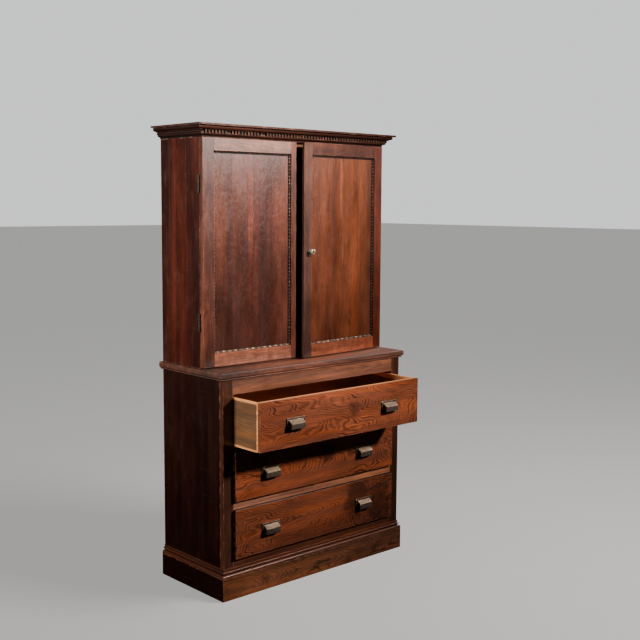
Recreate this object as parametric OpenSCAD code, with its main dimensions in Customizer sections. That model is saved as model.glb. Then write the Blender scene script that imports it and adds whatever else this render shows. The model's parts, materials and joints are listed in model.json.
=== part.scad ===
// Cabinet on chest: a shelved cupboard with two panelled doors over a chest of three drawers.
// X runs to the right, Y to the back and Z up. The origin is on the floor at mid width,
// in the plane of the face frame's front.
// It is modelled as it stood: the top drawer drawn out, the right door ajar, the rest shut or nearly so.

/* [Cases] */
// Width of the two cases
case_w = 1000; // [860:10:1200]
// Depth of the chest, from the front of its face frame to its back
case_d = 420; // [400:5:500]
// Thickness of the case sides
board_t = 20; // [18:1:24]
// Thickness of the cupboard's top, bottom and shelves
shelf_t = 18; // [14:1:22]
// Depth of the housing grooves that hold boards in the sides
housing = 6; // [4:1:9]
// Thickness of the back boards
back_t = 12; // [8:1:15]
// Boards in each back
back_count = 4; // [3:1:6]
// Gap left between back boards for movement
back_gap = 0.6; // [0.4:0.1:1.5]
// Height of the cupboard, from the chest's top to the cornice
cupboard_h = 922; // [800:2:1050]
// Shelves in the cupboard
shelf_count = 3; // [2:1:4]
// Distance that the shelves stand back from the cupboard's front edge
shelf_back = 21; // [19:1:40]

/* [Chest] */
// Height of the plinth boards
plinth_h = 93; // [80:1:110]
// Projection of the plinth past the case
plinth_out = 14; // [12:1:20]
// Thickness of the plinth boards
plinth_t = 28; // [24:1:32]
// Height of the moulding on top of the plinth
plinth_cap_h = 36; // [32:1:44]
// Width of the face frame's stiles
stile_w = 49.5; // [44:0.5:60]
// Thickness of the face frame
frame_t = 22; // [18:1:26]
// Height of the bottom rail above the plinth
bottom_rail_h = 69; // [60:1:80]
// Height of the rail between the lower two drawers
lower_rail_h = 34; // [26:1:44]
// Height of the rail between the upper two drawers
upper_rail_h = 24; // [20:1:34]
// Height of the top rail
top_rail_h = 60; // [50:1:80]
// Height of the top drawer's opening
top_opening_h = 208; // [180:2:230]
// Height of the lower two drawers' openings
opening_h = 204; // [180:2:230]
// Length of the rails' tenons
rail_tenon = 24; // [16:1:30]
// Thickness of the chest's bottom board
bottom_t = 20; // [16:1:24]
// Width of the runners and kickers
runner_w = 55; // [45:1:70]
// Height of the drawer guides
guide_h = 22; // [16:1:30]
// Length of the stops behind the drawers
stop_l = 28; // [16:1:40]
// Gap between a shut drawer and its stops
stop_play = 0.5; // [0.3:0.1:1]
// Height of the stops
stop_h = 26; // [18:1:40]
// Thickness of the chest's top
top_t = 30.5; // [26:0.5:36]
// Projection of the top in front
top_out = 12; // [10:0.5:16]
// Projection of the top at the sides
top_side_out = 20; // [16:1:26]

/* [Drawers] */
// How far the top drawer stands out of the frame
top_drawer_out = 167; // [2:1:250]
// How far the lower two drawers stand out of the frame
low_drawer_out = 14; // [2:1:200]
// Gap over the top drawer's front
top_head_gap = 10.5; // [2:0.5:14]
// Gap over the lower two drawers' fronts
head_gap = 2; // [1.5:0.5:5]
// Thickness of a drawer front
front_t = 22; // [18:1:26]
// Wood left in front of the dovetails
lap = 11; // [7:0.5:13]
// Thickness of the drawer sides and backs
side_t = 11; // [9:0.5:14]
// Gap at each end of a drawer front
front_gap = 1.5; // [1:0.1:3]
// Gap under a drawer front
front_lift = 1.5; // [1:0.1:3]
// Running clearance under the drawer sides
run_gap = 0.3; // [0.2:0.05:0.6]
// Dovetails at each corner
tails = 5; // [4:1:7]
// Share of the pitch that the wide end of a tail takes
tail_share = 0.68; // [0.6:0.01:0.75]
// Slope of a tail's sides, run to rise
tail_slope = 0.2; // [0.12:0.01:0.25]
// Thickness of the drawer bottoms
tray_t = 8; // [6:0.5:10]
// Height of the drawer bottoms above the sides' lower edges
tray_lift = 9; // [6:1:14]
// Depth of the grooves that hold the drawer bottoms
tray_groove = 5; // [4:0.5:6]
// How much lower the drawer backs are than the sides
back_drop = 10; // [4:1:20]

/* [Pulls] */
// Distance from the middle of a drawer to each pull
pull_x = 267; // [200:1:320]
// Distance of the pulls below the middle of the fronts
pull_drop = 6; // [0:1:15]
// Width of a pull's back plate
plate_w = 96; // [84:1:110]
// Height of the back plate
plate_h = 52; // [46:1:60]
// Thickness of the back plate
plate_t = 2.4; // [1.8:0.2:4]
// Width of the raised rim round the back plate
plate_rim = 2.8; // [2:0.2:5]
// Height of the rim above the back plate
rim_h = 1.2; // [0.6:0.2:2]
// Width of a pull's hood
hood_w = 73; // [60:1:80]
// Height of the hood
hood_h = 36; // [30:1:42]
// Projection of the hood
hood_out = 21; // [17:0.5:26]
// Wall of the hood
hood_wall = 2.2; // [1.6:0.2:3]

/* [Doors] */
// Distance from the face frame's front back to the front of the doors
setback = 125; // [110:1:140]
// Thickness of the doors
door_t = 23; // [20:1:26]
// Gap between the doors and the cupboard's front edge
door_gap = 1.2; // [0.8:0.1:2]
// Gap under the doors
door_foot_gap = 4; // [3:0.5:8]
// Gap above the doors
door_head_gap = 1; // [0.8:0.1:3]
// Where the doors meet, measured from the middle of the cupboard
meet_x = -13.75; // [-20:0.25:-8]
// Gap between the doors
meet_gap = 2.5; // [2.2:0.1:5]
// Angle at which the right door stands open
ajar = 5; // [1:0.5:12]
// Width of the left door's hinge stile
left_hinge_stile_w = 53; // [46:1:60]
// Width of the left door's closing stile
left_lock_stile_w = 27; // [25:1:34]
// Width of the right door's hinge stile
right_hinge_stile_w = 50; // [46:1:60]
// Width of the right door's closing stile
right_lock_stile_w = 49.5; // [45:0.5:60]
// Height of the doors' top rails
door_top_rail_h = 50; // [42:1:62]
// Height of the doors' bottom rails
door_bottom_rail_h = 54; // [44:1:70]
// Length of the door rails' tenons
door_tenon = 18; // [12:1:20]
// Thickness of the door rails' tenons
tenon_t = 8; // [6:0.5:9]
// Depth of the panels' front faces behind the doors' fronts
panel_recess = 13; // [11:0.5:14]
// Thickness of the door panels
panel_t = 6; // [4:0.5:6.5]
// Depth of the grooves round the panels
panel_groove = 9; // [6:0.5:10]
// Slack of a panel in its groove at the sides and top
panel_slack = 1; // [0.5:0.1:2]
// Width of the moulding inside the door frames
bead_w = 6; // [5:0.5:8]
// Depth of that moulding
bead_d = 9; // [8:0.5:10]
// Width of the lap on the right door's closing edge
door_lap_w = 16.5; // [12:0.5:17]
// Thickness of that lap
door_lap_t = 12; // [9:0.5:14]
// Depth of the centre post behind the door plane
post_back = 9; // [6:1:12]
// Play of the centre post inside the lap
post_play = 1; // [0.6:0.1:2]

/* [Hinges and catches] */
// Distance from a door's end to the middle of its hinge
hinge_in = 182; // [120:1:260]
// Height of a hinge
hinge_h = 70; // [60:1:90]
// Width of a hinge leaf on the wood
leaf_w = 17; // [12:1:17]
// Thickness of a hinge leaf
leaf_t = 1.6; // [1.2:0.1:2]
// Play between the two leaves, and between knuckles
leaf_play = 0.2; // [0.2:0.05:0.4]
// Radius of the knuckles
knuckle_r = 4; // [3.5:0.1:5]
// Gap between the knuckles and the case side
knuckle_gap = 0.3; // [0.2:0.1:1]
// Radius of the hinge pins
pin_r = 1.8; // [1.5:0.1:2.2]
// Radial clearance of pins and spindles
fit = 0.05; // [0.02:0.01:0.1]
// Height of the cupboard knob above the door's foot
knob_z = 456; // [300:1:600]
// Radius of the knob across its corners
knob_r = 15; // [12:0.5:18]
// Thickness of the knob's head
knob_head = 12; // [9:0.5:16]
// Radius of the eye sunk in the knob's face
eye_r = 4.5; // [3:0.5:6]
// Depth of the eye
eye_depth = 2.2; // [1:0.2:4]
// Length of the neck between the rose and the knob's head
knob_neck = 12; // [8:0.5:18]
// Radius of the knob's spindle
spindle_r = 4; // [3:0.25:4]
// Radius of the rose under the knob
rose_r = 11; // [8:0.5:13]
// Thickness of the rose
rose_t = 3; // [2:0.5:5]
// Length of the tongue that the knob turns
tongue_l = 36; // [30:1:44]
// Thickness of the tongue
tongue_t = 4; // [3:0.5:5]
// Gap between the centre post and the tongue
tongue_gap = 1.5; // [1:0.1:3]
// Radius of the left door's bolt
bolt_r = 3; // [2.5:0.1:4]
// Length of the bolt
bolt_l = 76; // [74:1:90]
// Gap between the drawn bolt and the cupboard's top board
bolt_clear = 3; // [2:0.5:6]
// Height of the plate that carries the bolt
bolt_plate_h = 60; // [56:1:80]

/* [Cornice] */
// Projection of the cornice's top past its frame
cornice_out = 48; // [44:1:56]
// Distance from the doors' front back to the cornice frame's front
cornice_back = 4; // [2:1:8]
// Thickness of the cornice frame's rails
cornice_rail_t = 30; // [28:1:36]
// Height of the bed moulding
bed_h = 17.5; // [16:0.5:24]
// Projection of the bed moulding
bed_out = 15; // [13:0.5:17]
// Height of the dentil course
dentil_h = 10; // [8:0.5:14]
// Width of a dentil
dentil_w = 6.5; // [5:0.5:9]
// Spacing of the dentils
dentil_pitch = 16; // [13:0.5:20]
// Projection of the dentils from their strip
dentil_out = 8; // [6:0.5:9]
// Projection of the strip behind the dentils
strip_out = 14; // [12:0.5:15]
// Height of the crown moulding
crown_h = 17; // [14:0.5:20]
// Projection of the crown moulding
crown_out = 38; // [36:1:42]
// Thickness of the board on top
cap_t = 8; // [6:0.5:12]

/* [Hidden] */

$fn = 48;
// A cutter runs this far past what it cuts
over = 1;
// Steps in a quarter round of a moulding's outline
quarter = 6;

half_w = case_w / 2;
inner_w = half_w - board_t;
back_y = case_d - back_t;
open_half = half_w - stile_w;

// Levels in the chest, from the floor up
floor_z = plinth_h + bottom_rail_h;
mid_z = floor_z + opening_h + lower_rail_h;
high_z = mid_z + opening_h + upper_rail_h;
kicker_z = high_z + top_opening_h;
chest_z = kicker_z + top_rail_h;
// Where each drawer runs, how far it stands out and the height of its front, top drawer first
run_z = [high_z, mid_z, floor_z];
drawer_out = [top_drawer_out, low_drawer_out, low_drawer_out];
low_front_h = opening_h - front_lift - head_gap;
front_h = [top_opening_h - front_lift - top_head_gap, low_front_h, low_front_h];
drawer_l = back_y - stop_l - stop_play;
cupboard_z = chest_z + top_t;
cornice_z = cupboard_z + cupboard_h;

// The cupboard's front edge, behind the doors
cupboard_y = setback + door_t + door_gap;
shelf_y = cupboard_y + shelf_back;
shelf_space = (cupboard_h - (shelf_count + 2) * shelf_t) / (shelf_count + 1);

door_z = cupboard_z + door_foot_gap;
door_h = cornice_z - door_head_gap - door_z;
left_door_w = half_w + meet_x - meet_gap / 2;
right_door_w = half_w - meet_x - meet_gap / 2;
panel_open_h = door_h - door_top_rail_h - door_bottom_rail_h;
hinge_y = cupboard_y - door_gap / 2;
axis_out = knuckle_r + knuckle_gap;
hinge_x = half_w + axis_out;
hinge_levels = [hinge_in, door_h - hinge_in];
segment = hinge_h / 5;

post_x0 = meet_x + meet_gap / 2 + post_play / 2;
post_x1 = post_x0 + door_lap_w - post_play;
post_y0 = setback + door_lap_t + post_play;
post_y1 = cupboard_y + post_back;
tongue_y = post_y1 + tongue_gap - setback;
knob_x = right_door_w - (right_lock_stile_w + door_lap_t) / 2;

// Small dimensions of the bolt: play in the top board, plate, lift off the plate, staples
bolt_play = 1;
bolt_plate_t = 1.2;
bolt_lift = 4;
bolt_set = 4;
loop_wall = 2;
loop_foot = 4;
loop_h = 6;

bed_z = cornice_z;
dentil_z = bed_z + bed_h;
crown_z = dentil_z + dentil_h;
cap_z = crown_z + crown_h;
cornice_y = setback + cornice_back;

drawer_half = open_half - front_gap;
// The drawers' parts, from the lower edge of the front
side_z0 = run_gap - front_lift;
tray_z = side_z0 + tray_lift;
back_z0 = tray_z + tray_t;

module box(low, high) {
  translate(low) cube(high - low);
}

module both_sides() {
  children();
  mirror([1, 0, 0]) children();
}

// Points on an arc, for the outlines of mouldings
function arc(centre, r, from, to, n = quarter) =
  [for (i = [0:n]) centre + r * [cos(from + (to - from) * i / n), sin(from + (to - from) * i / n)]];

// A moulding along the front: the outline's x is its projection, y its height.
// It is mitred where it meets the side runs: it projects "out" and reaches "in" behind its plane.
module front_run(outline, plane_y, z, out, in = 0) {
  reach = half_w + out + over;
  intersection() {
    translate([0, plane_y, z]) rotate([90, 0, -90])
      linear_extrude(height = 2 * reach, center = true) polygon(outline);
    translate([0, plane_y, z - over]) linear_extrude(height = case_d) polygon([
      [-half_w + in, in], [half_w - in, in], [half_w + out + over, -out - over], [-half_w - out - over, -out - over]
    ]);
  }
}

// The matching pair of runs along the sides, mitred in front and square at the back
module side_runs(outline, plane_y, z, out, in = 0) {
  both_sides() intersection() {
    translate([-half_w, plane_y - out - over, z]) rotate([90, 0, 180])
      linear_extrude(height = case_d - plane_y + out + over) polygon(outline);
    translate([-half_w, plane_y, z - over]) linear_extrude(height = case_d) polygon([
      [in, in], [in, case_d - plane_y], [-out - over, case_d - plane_y], [-out - over, -out - over]
    ]);
  }
}

// Plinth and chest

plinth_outline = [
  [plinth_out - plinth_t, 0], [plinth_out, 0], [plinth_out, plinth_h], [plinth_out - plinth_t, plinth_h]
];

// A fillet and a round below, a sunk quirk, then a small bead under a fillet
cap_fillet = 5;
cap_inset = 6;
cap_quirk = 4;
cap_back = 3;
cap_lip = 1;
cap_bead = 4.5;
cap_round = plinth_out - cap_inset;
quirk_z = cap_fillet + cap_round;
bead_z = quirk_z + cap_quirk;
plinth_cap_outline = concat(
  [[0, 0], [plinth_out, 0]],
  arc([cap_inset, cap_fillet], cap_round, 0, 90),
  [[cap_back, quirk_z], [cap_back, bead_z]],
  arc([cap_back + cap_lip, bead_z + cap_bead], cap_bead, -90, 90),
  [[cap_back, bead_z + 2 * cap_bead], [cap_back, plinth_cap_h], [0, plinth_cap_h]]
);

module plinth_front() {
  color("#5a2410") front_run(plinth_outline, 0, 0, plinth_out, plinth_t - plinth_out);
}

module plinth_sides() {
  color("#4a1c0c") side_runs(plinth_outline, 0, 0, plinth_out, plinth_t - plinth_out);
}

module plinth_back() {
  inside = half_w - plinth_t + plinth_out;
  color("#8a6a48") box([-inside, case_d - board_t, 0], [inside, case_d, plinth_h]);
}

module plinth_cap_front() {
  color("#7a3a22") front_run(plinth_cap_outline, 0, plinth_h, plinth_out);
}

module plinth_cap_sides() {
  color("#5a2814") side_runs(plinth_cap_outline, 0, plinth_h, plinth_out);
}

module bottom_board() {
  box([-inner_w - housing, frame_t, floor_z - bottom_t], [inner_w + housing, back_y, floor_z]);
}

module base_sides() {
  color("#3c160a") difference() {
    both_sides() box([-half_w, frame_t, plinth_h], [-inner_w, case_d, chest_z]);
    bottom_board();
  }
}

module base_bottom() {
  color("#8a6a48") bottom_board();
}

module back_boards(z0, z1) {
  pitch = 2 * inner_w / back_count;
  for (i = [0:back_count - 1]) {
    left = -inner_w + i * pitch;
    box([left + (i > 0 ? back_gap : 0), back_y, z0], [left + pitch, case_d, z1]);
  }
}

module base_back() {
  color("#7c5c3e") back_boards(plinth_h, chest_z);
}

// Each rail of the face frame: its lower edge and its height
rails = [
  [plinth_h, bottom_rail_h], [mid_z - lower_rail_h, lower_rail_h],
  [high_z - upper_rail_h, upper_rail_h], [chest_z - top_rail_h, top_rail_h]
];

module rail_tenons() {
  shoulder_y = frame_t / 3;
  for (rail = rails) {
    shoulder_z = rail[1] / 6;
    box(
      [-open_half - rail_tenon, shoulder_y, rail[0] + shoulder_z],
      [open_half + rail_tenon, 2 * shoulder_y, rail[0] + rail[1] - shoulder_z]
    );
  }
}

module face_stiles() {
  color("#6e3a28") difference() {
    both_sides() box([-half_w, 0, plinth_h], [-open_half, frame_t, chest_z]);
    rail_tenons();
  }
}

module face_rails() {
  color("#7a4430") {
    for (rail = rails)
      box([-open_half, 0, rail[0]], [open_half, frame_t, rail[0] + rail[1]]);
    rail_tenons();
  }
}

module drawer_runners() {
  color("#8a6a48") both_sides() {
    box([-inner_w, frame_t, mid_z - lower_rail_h], [-inner_w + runner_w, back_y, mid_z]);
    box([-inner_w, frame_t, high_z - upper_rail_h], [-inner_w + runner_w, back_y, high_z]);
    box([-inner_w, frame_t, kicker_z], [-inner_w + runner_w, back_y, kicker_z + upper_rail_h]);
  }
}

module drawer_guides() {
  color("#94714c") both_sides() for (z = run_z)
    box([-inner_w, frame_t, z], [-open_half, back_y, z + guide_h]);
}

module drawer_stops() {
  color("#8a6a48") both_sides() for (z = run_z)
    box([-open_half, back_y - stop_l, z], [-open_half + side_t + front_gap, back_y, z + stop_h]);
}

// The moulded edge of the top: a worn flat nose over a step and a small bead
nose_round = 4;
nose_slope = 3;
top_bead = 3;
top_bead_in = 8;
top_quirk = 2;
top_quirk_in = 9;
nose_z = 2 * top_bead + top_quirk;
function top_edge(out) = concat(
  [[0, 0]],
  arc([out - top_bead_in, top_bead], top_bead, -90, 90),
  [[out - top_quirk_in, 2 * top_bead], [out - top_quirk_in, nose_z]],
  [[out - nose_slope, nose_z], [out, nose_z + nose_slope]],
  arc([out - nose_round, top_t - nose_round], nose_round, 0, 90),
  [[0, top_t]]
);

module base_top() {
  edge = top_edge(top_side_out);
  right = [for (p = edge) [half_w + p[0], p[1]]];
  left = [for (i = [len(edge) - 1:-1:0]) [-half_w - edge[i][0], edge[i][1]]];
  color("#6a3020") intersection() {
    translate([0, -top_out - over, chest_z]) rotate([90, 0, 180])
      linear_extrude(height = case_d + top_out + 2 * over) polygon(concat(right, left));
    translate([0, 0, chest_z]) rotate([90, 0, -90])
      linear_extrude(height = case_w + 2 * top_side_out + 2 * over, center = true)
        polygon(concat(top_edge(top_out), [[-case_d, top_t], [-case_d, 0]]));
  }
}

// Cupboard

module shelf_boards() {
  for (i = [1:shelf_count]) {
    z = cupboard_z + i * (shelf_t + shelf_space);
    box([-inner_w - housing, shelf_y, z], [inner_w + housing, back_y, z + shelf_t]);
  }
}

module end_board(z) {
  box([-inner_w - housing, cupboard_y, z], [inner_w + housing, back_y, z + shelf_t]);
}

module upper_sides() {
  color("#6a2412") difference() {
    both_sides() box([-half_w, cupboard_y, cupboard_z], [-inner_w, case_d, cornice_z]);
    shelf_boards();
    end_board(cupboard_z);
    end_board(cornice_z - shelf_t);
    both_sides() for (z = hinge_levels)
      leaf_pocket(door_z + z);
  }
}

module upper_bottom() {
  color("#8a6a48") end_board(cupboard_z);
}

// The top board has a square mortise for the bolt
module upper_top() {
  half = bolt_r + bolt_play;
  x = bolt_x - half_w;
  y = setback + bolt_y;
  color("#8a6a48") difference() {
    end_board(cornice_z - shelf_t);
    box([x - half, y - half, cornice_z - shelf_t - over], [x + half, y + half, cornice_z + over]);
  }
}

module upper_back() {
  color("#7c5c3e") back_boards(cupboard_z, cornice_z);
}

module shelves() {
  color("#94714c") shelf_boards();
}

module centre_post() {
  color("#5a2c1a") box([post_x0, post_y0, cupboard_z + shelf_t], [post_x1, post_y1, cornice_z - shelf_t]);
}

// Cornice

// A cove under a fillet, then a quarter round up to the full projection
bed_cove = 7;
bed_ovolo = bed_out - bed_cove - 2;
bed_outline = concat(
  [[0, 0], [2, 0]],
  arc([2 + bed_cove, 2], bed_cove, 180, 90),
  arc([2 + bed_cove, bed_h - 2], bed_ovolo, -90, 0),
  [[bed_out, bed_h], [0, bed_h]]
);

// At the sides the bed moulding carries a round bead where the front has dentils
bead_r = dentil_h / 2;
bed_side_outline = concat(
  [for (i = [0:len(bed_outline) - 2]) bed_outline[i]],
  arc([strip_out, bed_h + bead_r], bead_r, -90, 90),
  [[0, bed_h + dentil_h]]
);

// A fillet over the dentils, then a quarter round up to the board on top
crown_fillet = 3;
crown_quirk = 4;
crown_round = crown_h - crown_fillet - crown_quirk;
crown_outline = concat(
  [[0, 0], [strip_out + dentil_out + 2, 0], [strip_out + dentil_out + 2, crown_fillet]],
  arc([crown_out - crown_round, crown_fillet + crown_round], crown_round, -90, 0),
  [[crown_out - 2, crown_h - crown_quirk], [crown_out - 2, crown_h], [0, crown_h]]
);

module cornice_frame() {
  inside = half_w - cornice_rail_t;
  color("#8a6a48") difference() {
    box([-half_w, cornice_y, cornice_z], [half_w, case_d, cap_z]);
    box([-inside, cornice_y + cornice_rail_t, cornice_z - over], [inside, case_d - cornice_rail_t, cap_z + over]);
  }
}

module bed_front() {
  color("#6e3c30") front_run(bed_outline, cornice_y, bed_z, bed_out);
}

module bed_sides() {
  color("#4a2218") side_runs(bed_side_outline, cornice_y, bed_z, strip_out + bead_r);
}

module dentil_strip() {
  strip = [[0, 0], [strip_out, 0], [strip_out, dentil_h], [0, dentil_h]];
  count = floor((case_w + 2 * strip_out - dentil_w) / (2 * dentil_pitch)) * 2;
  first = -count / 2 * dentil_pitch - dentil_w / 2;
  face_y = cornice_y - strip_out;
  color("#7a4630") {
    front_run(strip, cornice_y, dentil_z, strip_out);
    for (i = [0:count])
      box(
        [first + i * dentil_pitch, face_y - dentil_out, dentil_z],
        [first + i * dentil_pitch + dentil_w, face_y, dentil_z + dentil_h]
      );
  }
}

module crown_front() {
  color("#8a4418") front_run(crown_outline, cornice_y, crown_z, crown_out);
}

module crown_sides() {
  color("#4a2010") side_runs(crown_outline, cornice_y, crown_z, crown_out);
}

module cornice_cap() {
  edge = half_w + cornice_out;
  color("#7a4a36") box([-edge, cornice_y - cornice_out, cap_z], [edge, case_d, cap_z + cap_t]);
}

// Hinges, in the place of the left door's; the right door's are their mirror image

module leaf_pocket(z) {
  depth = hinge_y + leaf_play / 2 + leaf_t;
  box([-half_w - over, cupboard_y - over, z - hinge_h / 2], [-half_w + leaf_w, depth, z + hinge_h / 2]);
}

// A leaf with its knuckles. "side" is 1 for the leaf behind the hinge plane and -1 for the one in front.
module hinge_leaf(z, own, other, side) {
  foot = z - hinge_h / 2;
  face = leaf_play / 2;
  translate([-hinge_x, hinge_y, 0]) difference() {
    union() {
      box(
        [0, min(side * face, side * (face + leaf_t)), foot],
        [axis_out + leaf_w, max(side * face, side * (face + leaf_t)), foot + hinge_h]
      );
      for (i = own)
        translate([0, 0, foot + i * segment + leaf_play / 2]) cylinder(h = segment - leaf_play, r = knuckle_r);
    }
    for (i = other)
      box(
        [-over, -2 * knuckle_r, foot + i * segment - leaf_play / 2],
        [knuckle_r + leaf_play, 2 * knuckle_r, foot + (i + 1) * segment + leaf_play / 2]
      );
    translate([0, 0, foot - over]) cylinder(h = hinge_h + 2 * over, r = pin_r + fit);
  }
}

module hinge_case_leaves() {
  color("#4a4038") both_sides() for (z = hinge_levels)
    hinge_leaf(door_z + z, [0, 2, 4], [1, 3], 1);
}

module hinge_pins() {
  color("#4a4038") both_sides() for (z = hinge_levels)
    translate([-hinge_x, hinge_y, door_z + z - hinge_h / 2]) {
      cylinder(h = hinge_h, r = pin_r);
      for (end = [-1.5, hinge_h])
        translate([0, 0, end]) cylinder(h = 1.5, r = pin_r + 1);
    }
}

// Doors are drawn from their hinge edge: x across, y to the back, z up from the door's foot

module at_left_door() {
  translate([-half_w, setback, door_z]) children();
}

module at_right_door() {
  translate([hinge_x, hinge_y, 0]) rotate([0, 0, ajar]) translate([-hinge_x, -hinge_y, 0])
    mirror([1, 0, 0]) at_left_door() children();
}

module door_tenons(width, hinge_stile, lock_stile) {
  y0 = (door_t - tenon_t) / 2;
  low = hinge_stile - door_tenon;
  high = width - lock_stile + door_tenon;
  box([low, y0, 6], [high, y0 + tenon_t, door_bottom_rail_h - panel_groove - 2]);
  box([low, y0, door_h - door_top_rail_h + panel_groove + 2], [high, y0 + tenon_t, door_h - 6]);
}

// The groove round a door's panel
module panel_space(width, hinge_stile, lock_stile) {
  box(
    [hinge_stile - panel_groove, panel_recess, door_bottom_rail_h - panel_groove],
    [width - lock_stile + panel_groove, panel_recess + panel_t, door_h - door_top_rail_h + panel_groove]
  );
}

module door_hinge_stile(width, hinge_stile, lock_stile) {
  difference() {
    box([0, 0, 0], [hinge_stile, door_t, door_h]);
    door_tenons(width, hinge_stile, lock_stile);
    panel_space(width, hinge_stile, lock_stile);
    for (z = hinge_levels)
      box(
        [-over, hinge_y - setback - leaf_play / 2 - leaf_t, z - hinge_h / 2],
        [leaf_w, door_t + over, z + hinge_h / 2]
      );
  }
}

module door_lock_stile(width, hinge_stile, lock_stile) {
  difference() {
    box([width - lock_stile, 0, 0], [width, door_t, door_h]);
    door_tenons(width, hinge_stile, lock_stile);
    panel_space(width, hinge_stile, lock_stile);
  }
}

module door_rails(width, hinge_stile, lock_stile) {
  difference() {
    union() {
      box([hinge_stile, 0, 0], [width - lock_stile, door_t, door_bottom_rail_h]);
      box([hinge_stile, 0, door_h - door_top_rail_h], [width - lock_stile, door_t, door_h]);
      door_tenons(width, hinge_stile, lock_stile);
    }
    panel_space(width, hinge_stile, lock_stile);
  }
}

module door_panel(width, hinge_stile, lock_stile) {
  edge = panel_groove - panel_slack;
  box(
    [hinge_stile - edge, panel_recess, door_bottom_rail_h - panel_groove],
    [width - lock_stile + edge, panel_recess + panel_t, door_h - door_top_rail_h + edge]
  );
}

// A rounded strip with mitred ends along +Z, against the plane x = 0 and the panel's face
module bead_run(length) {
  r = bead_w - 1;
  outline = concat(
    [[0, panel_recess], [0, panel_recess - bead_d]],
    arc([1, panel_recess - bead_d + r], r, -90, 0),
    [[bead_w, panel_recess]]
  );
  intersection() {
    linear_extrude(height = length) polygon(outline);
    translate([0, panel_recess + over, 0]) rotate([90, 0, 0])
      linear_extrude(height = panel_recess + 2 * over)
        polygon([[0, 0], [bead_w + over, bead_w + over], [bead_w + over, length - bead_w - over], [0, length]]);
  }
}

module door_bead(width, hinge_stile, lock_stile) {
  across = width - hinge_stile - lock_stile;
  top = door_h - door_top_rail_h;
  translate([hinge_stile, 0, door_bottom_rail_h]) {
    bead_run(panel_open_h);
    mirror([0, 0, 1]) rotate([0, 90, 0]) bead_run(across);
  }
  translate([width - lock_stile, 0, door_bottom_rail_h]) mirror([1, 0, 0]) bead_run(panel_open_h);
  translate([hinge_stile, 0, top]) rotate([0, 90, 0]) bead_run(across);
}

// A door's own hinge leaves, moved from the case's frame into the door's
module door_leaves() {
  translate([half_w, -setback, 0]) for (z = hinge_levels)
    hinge_leaf(z, [1, 3], [0, 2, 4], -1);
}

module left_stiles() {
  color("#7a4434") at_left_door() {
    door_hinge_stile(left_door_w, left_hinge_stile_w, left_lock_stile_w);
    door_lock_stile(left_door_w, left_hinge_stile_w, left_lock_stile_w);
  }
}

module left_rails() {
  color("#96583e") at_left_door() door_rails(left_door_w, left_hinge_stile_w, left_lock_stile_w);
}

module left_panel() {
  color("#6a3426") at_left_door() door_panel(left_door_w, left_hinge_stile_w, left_lock_stile_w);
}

module left_bead() {
  color("#5a3024") at_left_door() door_bead(left_door_w, left_hinge_stile_w, left_lock_stile_w);
}

module left_hinge_leaves() {
  color("#4a4038") at_left_door() door_leaves();
}

// Behind its front edge the closing stile is cut away, so that it laps over the centre post
module right_stiles() {
  color("#7a4434") at_right_door() {
    door_hinge_stile(right_door_w, right_hinge_stile_w, right_lock_stile_w);
    difference() {
      door_lock_stile(right_door_w, right_hinge_stile_w, right_lock_stile_w);
      box([right_door_w - door_lap_w, door_lap_t, -over], [right_door_w + over, door_t + over, door_h + over]);
      translate([knob_x, -over, knob_z]) rotate([-90, 0, 0])
        cylinder(h = door_t + 2 * over, r = spindle_r + fit);
    }
  }
}

module right_rails() {
  color("#96583e") at_right_door() door_rails(right_door_w, right_hinge_stile_w, right_lock_stile_w);
}

module right_panel() {
  color("#6e3018") at_right_door() door_panel(right_door_w, right_hinge_stile_w, right_lock_stile_w);
}

module right_bead() {
  color("#5a3024") at_right_door() door_bead(right_door_w, right_hinge_stile_w, right_lock_stile_w);
}

module right_hinge_leaves() {
  color("#4a4038") at_right_door() door_leaves();
}

// Knob, its rose and the tongue it turns behind the door

module at_knob() {
  at_right_door() translate([knob_x, 0, knob_z]) children();
}

module knob_rose() {
  color("#6a5a44") at_knob() rotate([90, 0, 0]) rotate_extrude() polygon([
    [spindle_r + fit, 0], [rose_r, 0], [rose_r, rose_t / 2], [rose_r - 2, rose_t], [spindle_r + fit, rose_t]
  ]);
}

// The head is eight-sided, with a narrow bevel behind, a wider one and a sunk eye in front
module knob() {
  neck_z = rose_t + 0.3;
  head_z = neck_z + knob_neck;
  bevel = knob_head / 4;
  color("#b8a080") at_knob() rotate([90, 0, 0]) {
    rotate_extrude() polygon([
      [0, -tongue_y], [spindle_r, -tongue_y], [spindle_r, neck_z], [spindle_r + 3.5, neck_z],
      [spindle_r + 3.5, neck_z + 2], [spindle_r + 0.5, neck_z + 4], [spindle_r + 0.5, head_z - 3],
      [spindle_r + 3, head_z], [0, head_z]
    ]);
    difference() {
      translate([0, 0, head_z]) rotate([0, 0, 22.5]) {
        cylinder(h = bevel, r1 = knob_r - bevel, r2 = knob_r, $fn = 8);
        translate([0, 0, bevel]) cylinder(h = bevel, r = knob_r, $fn = 8);
        translate([0, 0, 2 * bevel]) cylinder(h = 2 * bevel, r1 = knob_r, r2 = knob_r - 2 * bevel, $fn = 8);
      }
      translate([0, 0, head_z + knob_head - eye_depth]) cylinder(h = eye_depth + over, r = eye_r);
    }
  }
}

module knob_tongue() {
  width = 2 * spindle_r;
  color("#4a4038") at_knob()
    box([-width / 2, tongue_y, -tongue_l], [width / 2, tongue_y + tongue_t, width / 2]);
}

// Bolt on the back of the left door, at its top; it slides up into the top board

bolt_x = left_door_w - left_lock_stile_w / 2;
bolt_y = door_t + bolt_plate_t + bolt_lift + bolt_r;
bolt_top = cornice_z - shelf_t - bolt_clear - door_z;
bolt_plate_z = bolt_top - bolt_set - bolt_plate_h;

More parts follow.
